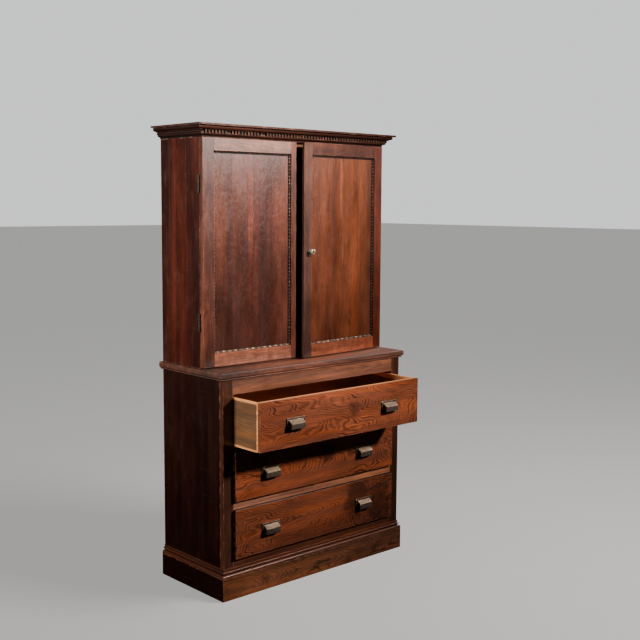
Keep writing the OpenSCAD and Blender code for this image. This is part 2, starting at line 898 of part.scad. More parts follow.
module bolt_plate() {
  back = door_t + bolt_plate_t;
  half = bolt_r + loop_wall;
  color("#4a4038") at_left_door() difference() {
    union() {
      box([bolt_x - half - loop_foot, door_t, bolt_plate_z], [bolt_x + half + loop_foot, back, bolt_plate_z + bolt_plate_h]);
      for (z = [bolt_plate_z + bolt_set, bolt_plate_z + bolt_plate_h - bolt_set - loop_h])
        box([bolt_x - half, back, z], [bolt_x + half, bolt_y + half, z + loop_h]);
    }
    translate([bolt_x, bolt_y, bolt_plate_z - over]) cylinder(h = bolt_plate_h + 2 * over, r = bolt_r + fit);
  }
}

module bolt() {
  grip_z = bolt_plate_z + bolt_set + loop_h + 6;
  color("#5a4c40") at_left_door() {
    translate([bolt_x, bolt_y, bolt_top - bolt_l]) cylinder(h = bolt_l, r = bolt_r);
    translate([bolt_x, bolt_y, grip_z]) rotate([-90, 0, 0]) cylinder(h = bolt_r + 8, r = bolt_r - 0.5);
  }
}

// Drawers are drawn from the lower front edge of their fronts

module at_drawer(i) {
  translate([0, -drawer_out[i], run_z[i] + front_lift]) children();
}

// The tails of one corner, as prisms through the side's thickness.
// They are wide at "tip_y" and narrow at "root_y", and share out the height from z0 to z1.
module tail_row(z0, z1, tip_y, root_y) {
  pitch = (z1 - z0) / tails;
  wide = pitch * tail_share;
  narrow = wide - 2 * tail_slope * abs(root_y - tip_y);
  for (i = [0:tails - 1]) {
    middle = z0 + (i + 0.5) * pitch;
    translate([-drawer_half, 0, 0]) rotate([90, 0, 90]) linear_extrude(height = side_t) polygon([
      [tip_y, middle - wide / 2], [root_y, middle - narrow / 2],
      [root_y, middle + narrow / 2], [tip_y, middle + wide / 2]
    ]);
  }
}

module front_tails(i) {
  tail_row(side_z0, front_h[i] + side_z0, lap, front_t);
}

module back_tails(i) {
  tail_row(back_z0, side_top(i) - back_drop, drawer_l, drawer_l - side_t);
}

function side_top(i) = front_h[i] + side_z0;

module tray(i) {
  box(
    [-drawer_half + side_t - tray_groove, front_t - tray_groove, tray_z],
    [drawer_half - side_t + tray_groove, drawer_l, back_z0]
  );
}

module drawer_front(i) {
  difference() {
    box([-drawer_half, 0, 0], [drawer_half, front_t, front_h[i]]);
    both_sides() front_tails(i);
    tray(i);
  }
}

module drawer_sides(i) {
  top = side_top(i);
  both_sides() difference() {
    box([-drawer_half, lap, side_z0], [-drawer_half + side_t, drawer_l, top]);
    difference() {
      box([-drawer_half - over, lap - over, side_z0 - over], [-drawer_half + side_t + over, front_t, top + over]);
      front_tails(i);
    }
    difference() {
      box(
        [-drawer_half - over, drawer_l - side_t, back_z0],
        [-drawer_half + side_t + over, drawer_l + over, top - back_drop]
      );
      back_tails(i);
    }
    tray(i);
  }
}

module drawer_back(i) {
  difference() {
    box([-drawer_half, drawer_l - side_t, back_z0], [drawer_half, drawer_l, side_top(i) - back_drop]);
    both_sides() back_tails(i);
  }
}

// A bin pull: a rimmed plate with a hood that is closed above, in front and at its ends, and open below
module pull() {
  hood_top = hood_h / 2;
  hood_foot = hood_top - hood_h;
  brow = hood_h * 0.38;
  outer = [
    [0, hood_foot], [hood_out, hood_foot], [hood_out, hood_top - brow], [plate_t, hood_top], [0, hood_top]
  ];
  inner = [
    [plate_t, hood_foot - over], [hood_out - hood_wall, hood_foot - over],
    [hood_out - hood_wall, hood_top - brow - hood_wall / 2], [plate_t, hood_top - 1.3 * hood_wall]
  ];
  half_plate = [plate_w / 2, plate_h / 2];
  field = half_plate - [plate_rim, plate_rim];
  difference() {
    box([-half_plate[0], -plate_t - rim_h, -half_plate[1]], [half_plate[0], 0, half_plate[1]]);
    box([-field[0], -plate_t - rim_h - over, -field[1]], [field[0], -plate_t, field[1]]);
  }
  rotate([90, 0, -90]) difference() {
    linear_extrude(height = hood_w, center = true) polygon(outer);
    linear_extrude(height = hood_w - 2 * hood_wall, center = true) polygon(inner);
  }
}

module drawer_pulls(i) {
  color("#3c3028") at_drawer(i) for (x = [-pull_x, pull_x])
    translate([x, 0, front_h[i] / 2 - pull_drop]) pull();
}

module drawer1_front() { color("#8c4720") at_drawer(0) drawer_front(0); }
module drawer1_sides() { color("#9a7048") at_drawer(0) drawer_sides(0); }
module drawer1_back() { color("#9a7048") at_drawer(0) drawer_back(0); }
module drawer1_bottom() { color("#a07850") at_drawer(0) tray(0); }
module drawer1_pulls() { drawer_pulls(0); }
module drawer2_front() { color("#7a3c1a") at_drawer(1) drawer_front(1); }
module drawer2_sides() { color("#9a7048") at_drawer(1) drawer_sides(1); }
module drawer2_back() { color("#9a7048") at_drawer(1) drawer_back(1); }
module drawer2_bottom() { color("#a07850") at_drawer(1) tray(1); }
module drawer2_pulls() { drawer_pulls(1); }
module drawer3_front() { color("#6a3416") at_drawer(2) drawer_front(2); }
module drawer3_sides() { color("#9a7048") at_drawer(2) drawer_sides(2); }
module drawer3_back() { color("#9a7048") at_drawer(2) drawer_back(2); }
module drawer3_bottom() { color("#a07850") at_drawer(2) tray(2); }
module drawer3_pulls() { drawer_pulls(2); }

plinth_front();
plinth_sides();
plinth_back();
plinth_cap_front();
plinth_cap_sides();
base_sides();
base_bottom();
base_back();
base_top();
face_stiles();
face_rails();
drawer_runners();
drawer_guides();
drawer_stops();
upper_sides();
upper_bottom();
upper_top();
upper_back();
shelves();
centre_post();
cornice_frame();
bed_front();
bed_sides();
dentil_strip();
crown_front();
crown_sides();
cornice_cap();
hinge_case_leaves();
hinge_pins();
left_stiles();
left_rails();
left_panel();
left_bead();
left_hinge_leaves();
bolt_plate();
bolt();
right_stiles();
right_rails();
right_panel();
right_bead();
right_hinge_leaves();
knob_rose();
knob();
knob_tongue();
drawer1_front();
drawer1_sides();
drawer1_back();
drawer1_bottom();
drawer1_pulls();
drawer2_front();
drawer2_sides();
drawer2_back();
drawer2_bottom();
drawer2_pulls();
drawer3_front();
drawer3_sides();
drawer3_back();
drawer3_bottom();
drawer3_pulls();
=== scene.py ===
"""Looks of the cabinet on chest: finished boards, mouldings, metalwork, light and camera."""

import json
import math
import random

import bmesh
import bpy
from bpy.props import FloatProperty, FloatVectorProperty, PointerProperty
from mathutils import Matrix, Vector, noise


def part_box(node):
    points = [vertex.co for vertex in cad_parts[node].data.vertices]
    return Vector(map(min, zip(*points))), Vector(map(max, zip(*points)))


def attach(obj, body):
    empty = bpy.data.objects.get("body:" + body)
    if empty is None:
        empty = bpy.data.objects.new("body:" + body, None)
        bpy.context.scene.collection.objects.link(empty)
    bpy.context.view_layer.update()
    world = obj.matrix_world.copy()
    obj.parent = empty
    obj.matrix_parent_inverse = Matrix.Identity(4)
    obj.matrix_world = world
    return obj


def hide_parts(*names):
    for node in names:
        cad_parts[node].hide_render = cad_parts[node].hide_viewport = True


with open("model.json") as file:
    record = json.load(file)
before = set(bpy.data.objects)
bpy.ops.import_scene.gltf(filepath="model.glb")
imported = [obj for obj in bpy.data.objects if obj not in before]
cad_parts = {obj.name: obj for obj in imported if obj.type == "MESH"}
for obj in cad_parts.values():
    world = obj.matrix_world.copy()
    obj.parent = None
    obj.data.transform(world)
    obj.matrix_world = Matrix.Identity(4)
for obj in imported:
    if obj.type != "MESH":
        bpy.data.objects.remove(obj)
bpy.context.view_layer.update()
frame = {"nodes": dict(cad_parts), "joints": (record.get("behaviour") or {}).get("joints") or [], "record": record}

bl_info = {
    "name": "Cabinet on Chest",
    "version": (1, 0, 0),
    "blender": (4, 5, 0),
    "location": "3D View > Sidebar > Cabinet",
    "description": "Finishes the boards, mouldings and metalwork of a cabinet on chest",
    "category": "Object",
}

BODIES = frame["record"]["behaviour"]["bodies"]
RIGHT_HINGE = next(j for j in frame["joints"] if j["name"] == "right_door_hinge")

# Degrees that the right door stands open
AJAR = 5


# Settings


def length(name, description, default, low, high):
    return FloatProperty(name=name, description=description, default=default, min=low, max=high, unit="LENGTH")


def colour(name, description, value):
    return FloatVectorProperty(
        name=name, description=description, default=value, size=3, min=0.0, max=1.0, subtype="COLOR"
    )


def power(name, lamp, default):
    return FloatProperty(name=name, description="Power of the " + lamp, default=default, min=0.0, subtype="POWER")


class CabinetSizes(bpy.types.PropertyGroup):
    """Sizes of what the finished cabinet adds to its boards"""

    arris: length("Arris", "Width of the worn bevel on a board's edges", 0.0008, 0.0002, 0.003)
    wear: length("Edge Wear", "Width of the rubbed varnish beside an edge", 0.0035, 0.0, 0.02)
    bead_pitch: length("Bead Pitch", "Distance from one bead of the door mouldings to the next", 0.0295, 0.015, 0.06)
    bead_radius: length("Bead Radius", "Radius of the beads of the door mouldings", 0.0043, 0.002, 0.008)
    dentil_pitch: length("Dentil Pitch", "Distance from one dentil of the cornice to the next", 0.016, 0.01, 0.03)
    dentil_width: length("Dentil Width", "Width of one dentil", 0.0068, 0.004, 0.012)
    screw_radius: length("Screw Radius", "Radius of the screw heads in the pulls", 0.0032, 0.001, 0.006)


class CabinetColours(bpy.types.PropertyGroup):
    """Colours of the finishes, as linear light"""

    rubbed: colour("Rubbed Edge", "Bare wood where the varnish has gone", (0.400, 0.190, 0.120))
    floor: colour("Floor", "Plain floor under the cabinet", (0.720, 0.715, 0.700))


# Each wood's label, and the colours of its early and its late wood
WOODS = {
    "case": ("Cupboard Sides", (0.060, 0.0088, 0.0030), (0.021, 0.0030, 0.0012)),
    "shade": ("Base Sides", (0.020, 0.0044, 0.0028), (0.008, 0.0018, 0.0014)),
    "face": ("Face Frame", (0.150, 0.046, 0.022), (0.050, 0.014, 0.007)),
    "top": ("Top of the Base", (0.260, 0.085, 0.045), (0.085, 0.026, 0.013)),
    "door": ("Door Frames", (0.205, 0.068, 0.040), (0.090, 0.027, 0.016)),
    "panel": ("Left Panel", (0.150, 0.044, 0.028), (0.060, 0.017, 0.011)),
    "warm": ("Right Panel", (0.235, 0.062, 0.024), (0.095, 0.023, 0.009)),
    "drawer": ("Drawer Fronts", (0.310, 0.078, 0.031), (0.048, 0.011, 0.005)),
    "plinth": ("Plinth", (0.300, 0.105, 0.048), (0.075, 0.024, 0.011)),
    "moulding": ("Mouldings", (0.200, 0.052, 0.020), (0.070, 0.018, 0.008)),
    "cornice": ("Cornice", (0.060, 0.018, 0.011), (0.022, 0.007, 0.004)),
    # The inside is darkened as painted shade
    "inner": ("Cupboard Inside", (0.110, 0.045, 0.022), (0.045, 0.018, 0.009)),
    "bead": ("Beads", (0.420, 0.250, 0.180), (0.220, 0.110, 0.070)),
    "dentil": ("Dentils", (0.095, 0.034, 0.020), (0.040, 0.014, 0.008)),
    # The recesses' near-black is painted shade: behind the dentils and the beads, and on the shut drawers' ends
    "recess": ("Recesses", (0.034, 0.013, 0.008), (0.012, 0.005, 0.003)),
    "raw": ("Raw Boards", (1.000, 0.430, 0.150), (0.680, 0.235, 0.075)),
}

# Each metal's label, and the colours of its patina and of the metal rubbed bare, which also paints highlights on faces
# that look up
METALS = {
    "iron": ("Pulls", (0.090, 0.061, 0.044), (0.380, 0.250, 0.165)),
    "steel": ("Hinges and Bolt", (0.030, 0.020, 0.014), (0.120, 0.080, 0.055)),
    "brass": ("Knob", (0.400, 0.300, 0.190), (0.720, 0.580, 0.400)),
    # The rose's near-black is painted shade
    "rose": ("Knob's Rose", (0.030, 0.022, 0.014), (0.320, 0.250, 0.160)),
    "pit": ("Knob's Eye", (0.012, 0.010, 0.008), (0.05, 0.04, 0.03)),
}


def add_colours(table, **titles):
    """Adds two colours to the settings for each row of a table."""
    for key, (label, *values) in table.items():
        for (end, title), value in zip(titles.items(), values):
            about = f"{title.capitalize()} of the {label.lower()}"
            CabinetColours.__annotations__[f"{key}_{end}"] = colour(f"{label}, {title}", about, value)


add_colours(WOODS, pale="Early Wood", dark="Late Wood")
add_colours(METALS, patina="Patina", bright="Rubbed Metal")


class CabinetLight(bpy.types.PropertyGroup):
    """The studio around the cabinet"""

    high_key: power("Cupboard Key", "lamp in front of the cupboard", 15.5)
    low_key: power("Chest Key", "lamp at the right of the chest", 10.0)
    sheen: power("Sheen", "panel whose reflection lies on the left door", 56.0)
    side: power("Side", "panel at either side", 18.0)
    overhead: power("Overhead", "panel above the floor", 90.0)
    air: FloatProperty(
        name="Surroundings", description="Strength of the even light all round", default=0.011, min=0.0, max=5.0
    )
    backdrop: FloatProperty(
        name="Backdrop", description="Brightness of the plain background", default=1.0, min=0.0, max=5.0
    )


# Node trees


VECTOR, GEOMETRY, MATERIAL = "NodeSocketVector", "NodeSocketGeometry", "NodeSocketMaterial"
TREES = {}


def new_tree(name, takes, gives, kind="ShaderNodeTree", given_kind="NodeSocketFloat"):
    """A node group and the sockets inside it. Each input has its default, or else its type."""
    tree = bpy.data.node_groups.new(name, kind)
    for label, value in takes.items():
        if isinstance(value, str):
            tree.interface.new_socket(label, in_out="INPUT", socket_type=value)
        else:
            number = "NodeSocketInt" if isinstance(value, int) else "NodeSocketFloat"
            tree.interface.new_socket(label, in_out="INPUT", socket_type=number).default_value = value
    for label in gives:
        tree.interface.new_socket(label, in_out="OUTPUT", socket_type=given_kind)
    return tree, tree.nodes.new("NodeGroupInput").outputs, tree.nodes.new("NodeGroupOutput").inputs


def shared(maker):
    """The tree that a function makes, made the first time it is asked for."""
    if maker not in TREES:
        TREES[maker] = maker()
    return TREES[maker]


def put(tree, sockets, values):
    """Links or sets sockets by name or number."""
    for key, value in values.items():
        socket = sockets[key]
        if isinstance(value, bpy.types.NodeSocket):
            tree.links.new(value, socket)
        else:
            socket.default_value = (*value, 1.0)[:4] if socket.type == "RGBA" else value


def add(tree, kind, values=None, **settings):
    """A node with its settings, and its sockets linked or set by name or number."""
    node = tree.nodes.new(kind)
    for key, value in settings.items():
        setattr(node, key, value)
    put(tree, node.inputs, values or {})
    return node


def first(tree, kind, values=None, **settings):
    """The first output of such a node."""
    return add(tree, kind, values, **settings).outputs[0]


def calc(tree, operation, *values, clamp=False):
    """The result of a Math node."""
    return first(tree, "ShaderNodeMath", dict(enumerate(values)), operation=operation, use_clamp=clamp)


def times(tree, one, other, plus=None):
    """The product of two values, with a third added."""
    if plus is None:
        return calc(tree, "MULTIPLY", one, other)
    return calc(tree, "MULTIPLY_ADD", one, other, plus)


def minus(tree, one, other):
    return calc(tree, "SUBTRACT", one, other)


def vector(tree, operation, *values):
    """The result of a Vector Math node; its value output for a length."""
    node = add(tree, "ShaderNodeVectorMath", dict(enumerate(values)), operation=operation)
    return node.outputs["Value" if operation in {"LENGTH", "DISTANCE"} else "Vector"]


def parts_of(tree, value):
    return add(tree, "ShaderNodeSeparateXYZ", {0: value}).outputs


def xyz(tree, x=0.0, y=0.0, z=0.0):
    return first(tree, "ShaderNodeCombineXYZ", {0: x, 1: y, 2: z})


def here(tree):
    """Coordinates in the object's own space."""
    return add(tree, "ShaderNodeTexCoord").outputs["Object"]


def attribute(tree, name):
    return add(tree, "ShaderNodeAttribute", attribute_name=name).outputs


def blur_step(tree, value, low, high, start=0.0, end=1.0):
    """A smooth step of value from low to high."""
    values = {"Value": value, "From Min": low, "From Max": high, "To Min": start, "To Max": end}
    return first(tree, "ShaderNodeMapRange", values, interpolation_type="SMOOTHSTEP")


def cloud(tree, at, scale, detail=2.0, roughness=0.5):
    """Noise around 0.5 at scaled coordinates."""
    place = vector(tree, "MULTIPLY", at, scale)
    values = {"Vector": place, "Scale": 1.0, "Detail": detail, "Roughness": roughness}
    return add(tree, "ShaderNodeTexNoise", values).outputs["Fac"]


def mix(tree, factor, one, other, mode="MIX"):
    """A colour mixed from two."""
    return add(tree, "ShaderNodeMix", {0: factor, 6: one, 7: other}, data_type="RGBA", blend_type=mode).outputs[2]


def tinted(tree, paint, low, high, value, start=0.32, end=0.68):
    """A colour made darker or lighter by a value."""
    tone = blur_step(tree, value, start, end, low, high)
    grey = first(tree, "ShaderNodeCombineColor", {0: tone, 1: tone, 2: tone})
    return mix(tree, 1.0, paint, grey, "MULTIPLY")


def use_group(tree, maker, values):
    return add(tree, "ShaderNodeGroup", values, node_tree=shared(maker)).outputs


def growth_rings():
    """Growth rings as a board's face cuts them: figure, fibre, slow blotches and long streaks, each from 0 to 1."""
    tree, given, result = new_tree("Growth Rings", {
        "Board": VECTOR, "Ring Width": 0.006, "Waviness": 0.02, "Swirl": 0.006, "Ripple": 0.0022, "Taper": 0.03,
        "Late": 0.28,
    }, ("Figure", "Fibre", "Blotch", "Streak"))
    board = given["Board"]
    radius = vector(tree, "LENGTH", vector(tree, "MULTIPLY", board, (1.0, 1.0, 0.0)))
    for across, along, detail, strength in (
        (7.0, 2.4, 2.0, "Waviness"), (26.0, 9.0, 2.0, "Swirl"), (110.0, 70.0, 1.0, "Ripple"),
    ):
        bend = minus(tree, cloud(tree, board, (across, across, along), detail), 0.5)
        radius = times(tree, bend, given[strength], radius)
    radius = times(tree, parts_of(tree, board)["Z"], given["Taper"], radius)
    turns = calc(tree, "DIVIDE", radius, given["Ring Width"])
    ring = calc(tree, "FRACT", turns)
    late = times(tree, blur_step(tree, ring, given["Late"], 0.9), blur_step(tree, ring, 0.92, 1.0, 1.0, 0.0))
    year = first(tree, "ShaderNodeTexWhiteNoise", {"W": calc(tree, "FLOOR", turns)}, noise_dimensions="1D")
    put(tree, result, {
        "Figure": times(tree, late, times(tree, year, 0.6, 0.4)),
        "Fibre": cloud(tree, board, (620.0, 620.0, 13.0), 2.0, 0.6),
        "Blotch": cloud(tree, board, (11.0, 11.0, 2.6), 3.0),
        "Streak": cloud(tree, board, (26.0, 26.0, 0.9), 3.0, 0.55),
    })
    return tree


def worn_arris():
    """A mask along a board's edges, from its distances to the low and high faces of its box."""
    tree, given, result = new_tree(
        "Worn Arris", {"From Low": VECTOR, "From High": VECTOR, "Width": 0.004}, ("Mask",)
    )
    x, y, z = parts_of(tree, vector(tree, "MINIMUM", given["From Low"], given["From High"]))
    least, most, total = (
        calc(tree, operation, calc(tree, operation, x, y), z) for operation in ("MINIMUM", "MAXIMUM", "ADD")
    )
    middle = minus(tree, minus(tree, total, least), most)
    patchy = blur_step(tree, cloud(tree, here(tree), (28.0, 28.0, 28.0), 3.0, 0.65), 0.35, 0.72)
    reach = times(tree, given["Width"], times(tree, patchy, 1.5, 0.12))
    mask = calc(tree, "SUBTRACT", 1.0, calc(tree, "DIVIDE", middle, reach), clamp=True)
    put(tree, result, {"Mask": times(tree, mask, times(tree, patchy, 0.8, 0.2))})
    return tree


def knocks():
    """Scattered marks of use, as masks: pale chips, dark dents, fine scratches and dark stains."""
    tree, given, result = new_tree("Knocks", {"Density": 0.5}, ("Chips", "Dents", "Scratches", "Stains"))
    place = here(tree)
    jitter = add(tree, "ShaderNodeTexNoise", {"Vector": place, "Scale": 60.0, "Detail": 1.0}).outputs["Color"]
    jitter = vector(tree, "MULTIPLY", vector(tree, "SUBTRACT", jitter, (0.5, 0.5, 0.5)), (0.01, 0.01, 0.01))
    bent = vector(tree, "ADD", place, jitter)
    marks = {}
    for label, scale, size in (("Chips", 13.0, 0.036), ("Dents", 9.0, 0.03)):
        cell = add(tree, "ShaderNodeTexVoronoi", {"Vector": bent, "Scale": scale}).outputs
        spot = blur_step(tree, cell["Distance"], size * 0.5, size, 1.0, 0.0)
        kept = calc(tree, "LESS_THAN", parts_of(tree, cell["Color"])["X"], given["Density"])
        marks[label] = times(tree, spot, kept)
    line = blur_step(tree, cloud(tree, place, (5.0, 5.0, 420.0), 2.0), 0.66, 0.74)
    where = blur_step(tree, cloud(tree, place, (6.0, 6.0, 9.0), 1.0), 0.5, 0.66)
    marks["Scratches"] = times(tree, line, where)
    marks["Stains"] = blur_step(tree, cloud(tree, place, (9.0, 9.0, 12.0), 4.0, 0.6), 0.55, 0.78)
    put(tree, result, marks)
    return tree


def rubbed_and_lit_metal():
    """Patina over metal: a mask of metal rubbed bare on edges and lightened as a painted highlight on faces that look
    up, and a mottle.
    """
    tree, given, result = new_tree("Rubbed Metal", {"Edge": 0.0, "Up": 0.5}, ("Bare", "Mottle"))
    coordinates = add(tree, "ShaderNodeTexCoord").outputs
    mottle = cloud(tree, coordinates["Object"], (160.0, 160.0, 160.0), 4.0, 0.62)
    # Faces that look up lightened as a painted highlight
    lit_top = times(tree, blur_step(tree, parts_of(tree, coordinates["Normal"])["Z"], 0.3, 0.6), given["Up"])
    rubbed = times(tree, calc(tree, "MAXIMUM", given["Edge"], lit_top), times(tree, mottle, 1.6, 0.1))
    put(tree, result, {"Bare": blur_step(tree, rubbed, 0.3, 0.75), "Mottle": mottle})
    return tree


def soft_spot():
    """A ragged round patch about a centre."""
    tree, given, result = new_tree("Soft Spot", {"Centre": VECTOR, "Radius": 0.1}, ("Mask",))
    place = here(tree)
    away = calc(tree, "DIVIDE", vector(tree, "DISTANCE", place, given["Centre"]), given["Radius"])
    ragged = minus(tree, cloud(tree, place, (38.0, 38.0, 60.0), 4.0, 0.65), 0.5)
    put(tree, result, {"Mask": blur_step(tree, times(tree, ragged, 1.5, away), 0.35, 1.0, 1.0, 0.0)})
    return tree


# Finishes


# Dark colours of stains and of the knob's painted shadow, of dents and of the painted shade and dirt in inner corners,
# and a dust colour
SOOT_AND_SHADOW, GRIME_AND_SHADE, DUST = (0.020, 0.008, 0.005), (0.012, 0.006, 0.004), (0.30, 0.24, 0.22)
COOL, WARM = (0.86, 0.93, 1.06), (1.14, 1.02, 0.82)


def new_material(name):
    """A material with a Principled surface, its tree and the surface's sockets."""
    material = bpy.data.materials.new(name)
    material.use_nodes = True
    tree = material.node_tree
    tree.nodes.clear()
    shader = add(tree, "ShaderNodeBsdfPrincipled")
    add(tree, "ShaderNodeOutputMaterial", {0: shader.outputs[0]})
    return material, tree, shader.inputs


def shades(key, *ends):
    """Two colours from the settings."""
    return [tuple(getattr(bpy.context.scene.cabinet_colours, f"{key}_{end}")) for end in ends]


def wood(
    title, key, ring=0.006, wavy=0.02, swirl=0.006, ripple=0.0022, taper=0.03, late=0.28, contrast=0.8, streak=0.5,
    wear=1.0, chips=0.25, stain=0.4, spots=(), gloss=0.34, coat=0.5, bloom=0.0, grain=0.35, uneven=0.0, lap=None,
):
    """A board's finish: growth rings under varnish, streaked, rubbed at the edges and marked by use.

    Ring to late shape the growth rings, wear to spots the marks, gloss to bloom the varnish, grain and uneven its
    surface. Spots are dark patches, and the knob's painted shadow is one of them. Lap is the depth behind a front
    where the wood is another one, and which; for the shut drawers it is the recesses' painted shade.
    """
    settings = bpy.context.scene
    rubbed = tuple(settings.cabinet_colours.rubbed)
    material, tree, surface = new_material(title)
    place = here(tree)
    from_low = attribute(tree, "from_low")["Vector"]
    rings = use_group(tree, growth_rings, {
        "Board": attribute(tree, "board")["Vector"], "Ring Width": ring, "Waviness": wavy, "Swirl": swirl,
        "Ripple": ripple, "Taper": taper, "Late": late,
    })
    arris = use_group(tree, worn_arris, {
        "From Low": from_low, "From High": attribute(tree, "from_high")["Vector"],
        "Width": settings.cabinet_sizes.wear * wear,
    })["Mask"]
    marks = use_group(tree, knocks, {"Density": chips})

    body = mix(tree, times(tree, rings["Figure"], contrast), *shades(key, "pale", "dark"))
    body = mix(tree, 1.0, body, mix(tree, blur_step(tree, rings["Streak"], 0.34, 0.66), COOL, WARM), "MULTIPLY")
    body = tinted(tree, body, 1.0 - streak * 0.62, 1.0 + streak * 0.45, rings["Streak"], 0.34, 0.66)
    body = mix(tree, 1.0, body, attribute(tree, "tone")["Vector"], "MULTIPLY")
    body = tinted(tree, body, 0.72, 1.28, rings["Fibre"], 0.25, 0.75)
    body = tinted(tree, body, 0.72, 1.24, rings["Blotch"])
    if bloom:
        smudge = cloud(tree, place, (24.0, 24.0, 9.0), 5.0, 0.68)
        body = tinted(tree, body, 1.0 - 0.5 * bloom, 1.0 + 0.35 * bloom, smudge, 0.36, 0.64)
        body = mix(tree, blur_step(tree, smudge, 0.52, 0.78, 0.0, bloom * 0.3), body, DUST)
    # Stains, and dark patches, among them the knob's painted shadow and painted shade on the left panel
    soot_and_shadow = times(tree, marks["Stains"], stain)
    for centre, radius, strength in spots:
        spot = use_group(tree, soft_spot, {"Centre": centre, "Radius": radius})["Mask"]
        soot_and_shadow = calc(tree, "MAXIMUM", soot_and_shadow, times(tree, spot, strength))
    body = mix(tree, soot_and_shadow, body, SOOT_AND_SHADOW)
    # Inner corners darkened with painted shade and dirt
    body = mix(tree, blur_step(tree, attribute(tree, "hollow")["Fac"], 0.4, 0.95, 0.0, 0.85), body, GRIME_AND_SHADE)
    for mask, strength, paint in (
        (arris, 0.6, rubbed), (marks["Chips"], 0.6, rubbed), (marks["Scratches"], 0.12, rubbed),
        (marks["Dents"], 0.85, GRIME_AND_SHADE),
    ):
        body = mix(tree, times(tree, mask, strength), body, paint)
    varnish = minus(tree, 1.0, arris)
    if lap:
        depth, other = lap
        behind = blur_step(tree, parts_of(tree, from_low)["Y"], depth - 0.0003, depth + 0.0003)
        bare = mix(tree, times(tree, rings["Figure"], 0.6), *shades(other, "pale", "dark"))
        body = mix(tree, behind, body, tinted(tree, bare, 0.7, 1.2, rings["Fibre"], 0.25, 0.75))
        varnish = times(tree, varnish, minus(tree, 1.0, behind))

    rough = times(tree, rings["Blotch"], 0.22, gloss - 0.11)
    if bloom:
        rough = times(tree, smudge, 0.3 * bloom, rough)
    if coat:
        put(tree, surface, {"Coat Weight": times(tree, varnish, coat), "Coat Roughness": 0.20, "Coat IOR": 1.5})
    height = times(tree, rings["Figure"], -0.5, times(tree, rings["Fibre"], 0.6))
    height = times(tree, calc(tree, "MAXIMUM", marks["Dents"], marks["Chips"]), -1.5, height)
    if uneven:
        height = times(tree, cloud(tree, place, (75.0, 75.0, 40.0), 2.0), uneven, height)
    put(tree, surface, {
        "Base Color": body, "Roughness": times(tree, arris, 0.25, rough), "Specular IOR Level": 0.35,
        "Normal": first(tree, "ShaderNodeBump", {"Height": height, "Strength": grain, "Distance": 0.0006}),
    })
    return material


def metal(title, key, rough=0.42, bare=0.9, shine=0.4, up=0.5):
    """A metal under patina, bare where it is rubbed and lighter as a painted highlight where it looks up."""
    material, tree, surface = new_material(title)
    skin = use_group(tree, rubbed_and_lit_metal, {"Edge": attribute(tree, "edge")["Fac"], "Up": up})
    body = mix(tree, times(tree, skin["Bare"], bare), *shades(key, "patina", "bright"))
    put(tree, surface, {
        "Base Color": tinted(tree, body, 0.62, 1.35, skin["Mottle"], 0.3, 0.7),
        "Metallic": times(tree, skin["Bare"], 0.3, shine),
        "Roughness": times(tree, skin["Mottle"], 0.3, rough - 0.15),
        "Normal": first(tree, "ShaderNodeBump", {"Height": skin["Mottle"], "Strength": 0.25, "Distance": 0.0005}),
    })
    return material


# Dark patches, each with its centre, radius and strength
DRAWER_SPOTS = (
    ((0.230, -0.014, 0.290), 0.120, 0.75), ((0.050, -0.014, 0.530), 0.060, 0.75),
    ((0.060, -0.167, 0.740), 0.045, 0.55), ((0.360, -0.014, 0.240), 0.140, 0.75),
    ((-0.300, -0.014, 0.560), 0.100, 0.40),
)
TOP_SPOTS = (((-0.560, 0.180, 0.911), 0.450, 0.75),)
# The knob's painted shadow, on the door's stile just below it
KNOB_SHADOW = (((0.013, 0.087, 1.380), 0.020, 0.85),)
# Painted shade on the left panel, low down and in its middle, where the light falls off
PANEL_SHADE = (((-0.330, 0.138, 1.060), 0.300, 0.40), ((-0.200, 0.138, 1.340), 0.200, 0.35))

SIDE = dict(ring=0.0055, swirl=0.02)
DOOR = dict(swirl=0.02, contrast=0.6, streak=0.3, wear=0.6, coat=0.6, bloom=0.4, uneven=3.0, grain=0.7)
PANEL = dict(wavy=0.08, contrast=0.4, streak=0.12, late=0.4, bloom=0.28, uneven=4.0, grain=0.9)
DRAWER = dict(
    ring=0.0100, wavy=0.30, swirl=0.022, ripple=0.0030, taper=0.35, late=0.25, contrast=1.0, streak=0.15,
    wear=0.7, chips=0.45, stain=0.45, spots=DRAWER_SPOTS, coat=0.35, grain=0.6,
)
PLINTH = dict(ring=0.0068, wavy=0.14, swirl=0.02, ripple=0.003, taper=0.12, late=0.4, contrast=0.95)
MOULDING = dict(ring=0.003, contrast=0.6, wear=0.8, coat=0.15, gloss=0.45)
SMALL = dict(ring=0.004, contrast=0.4, coat=0.0, chips=0.0)

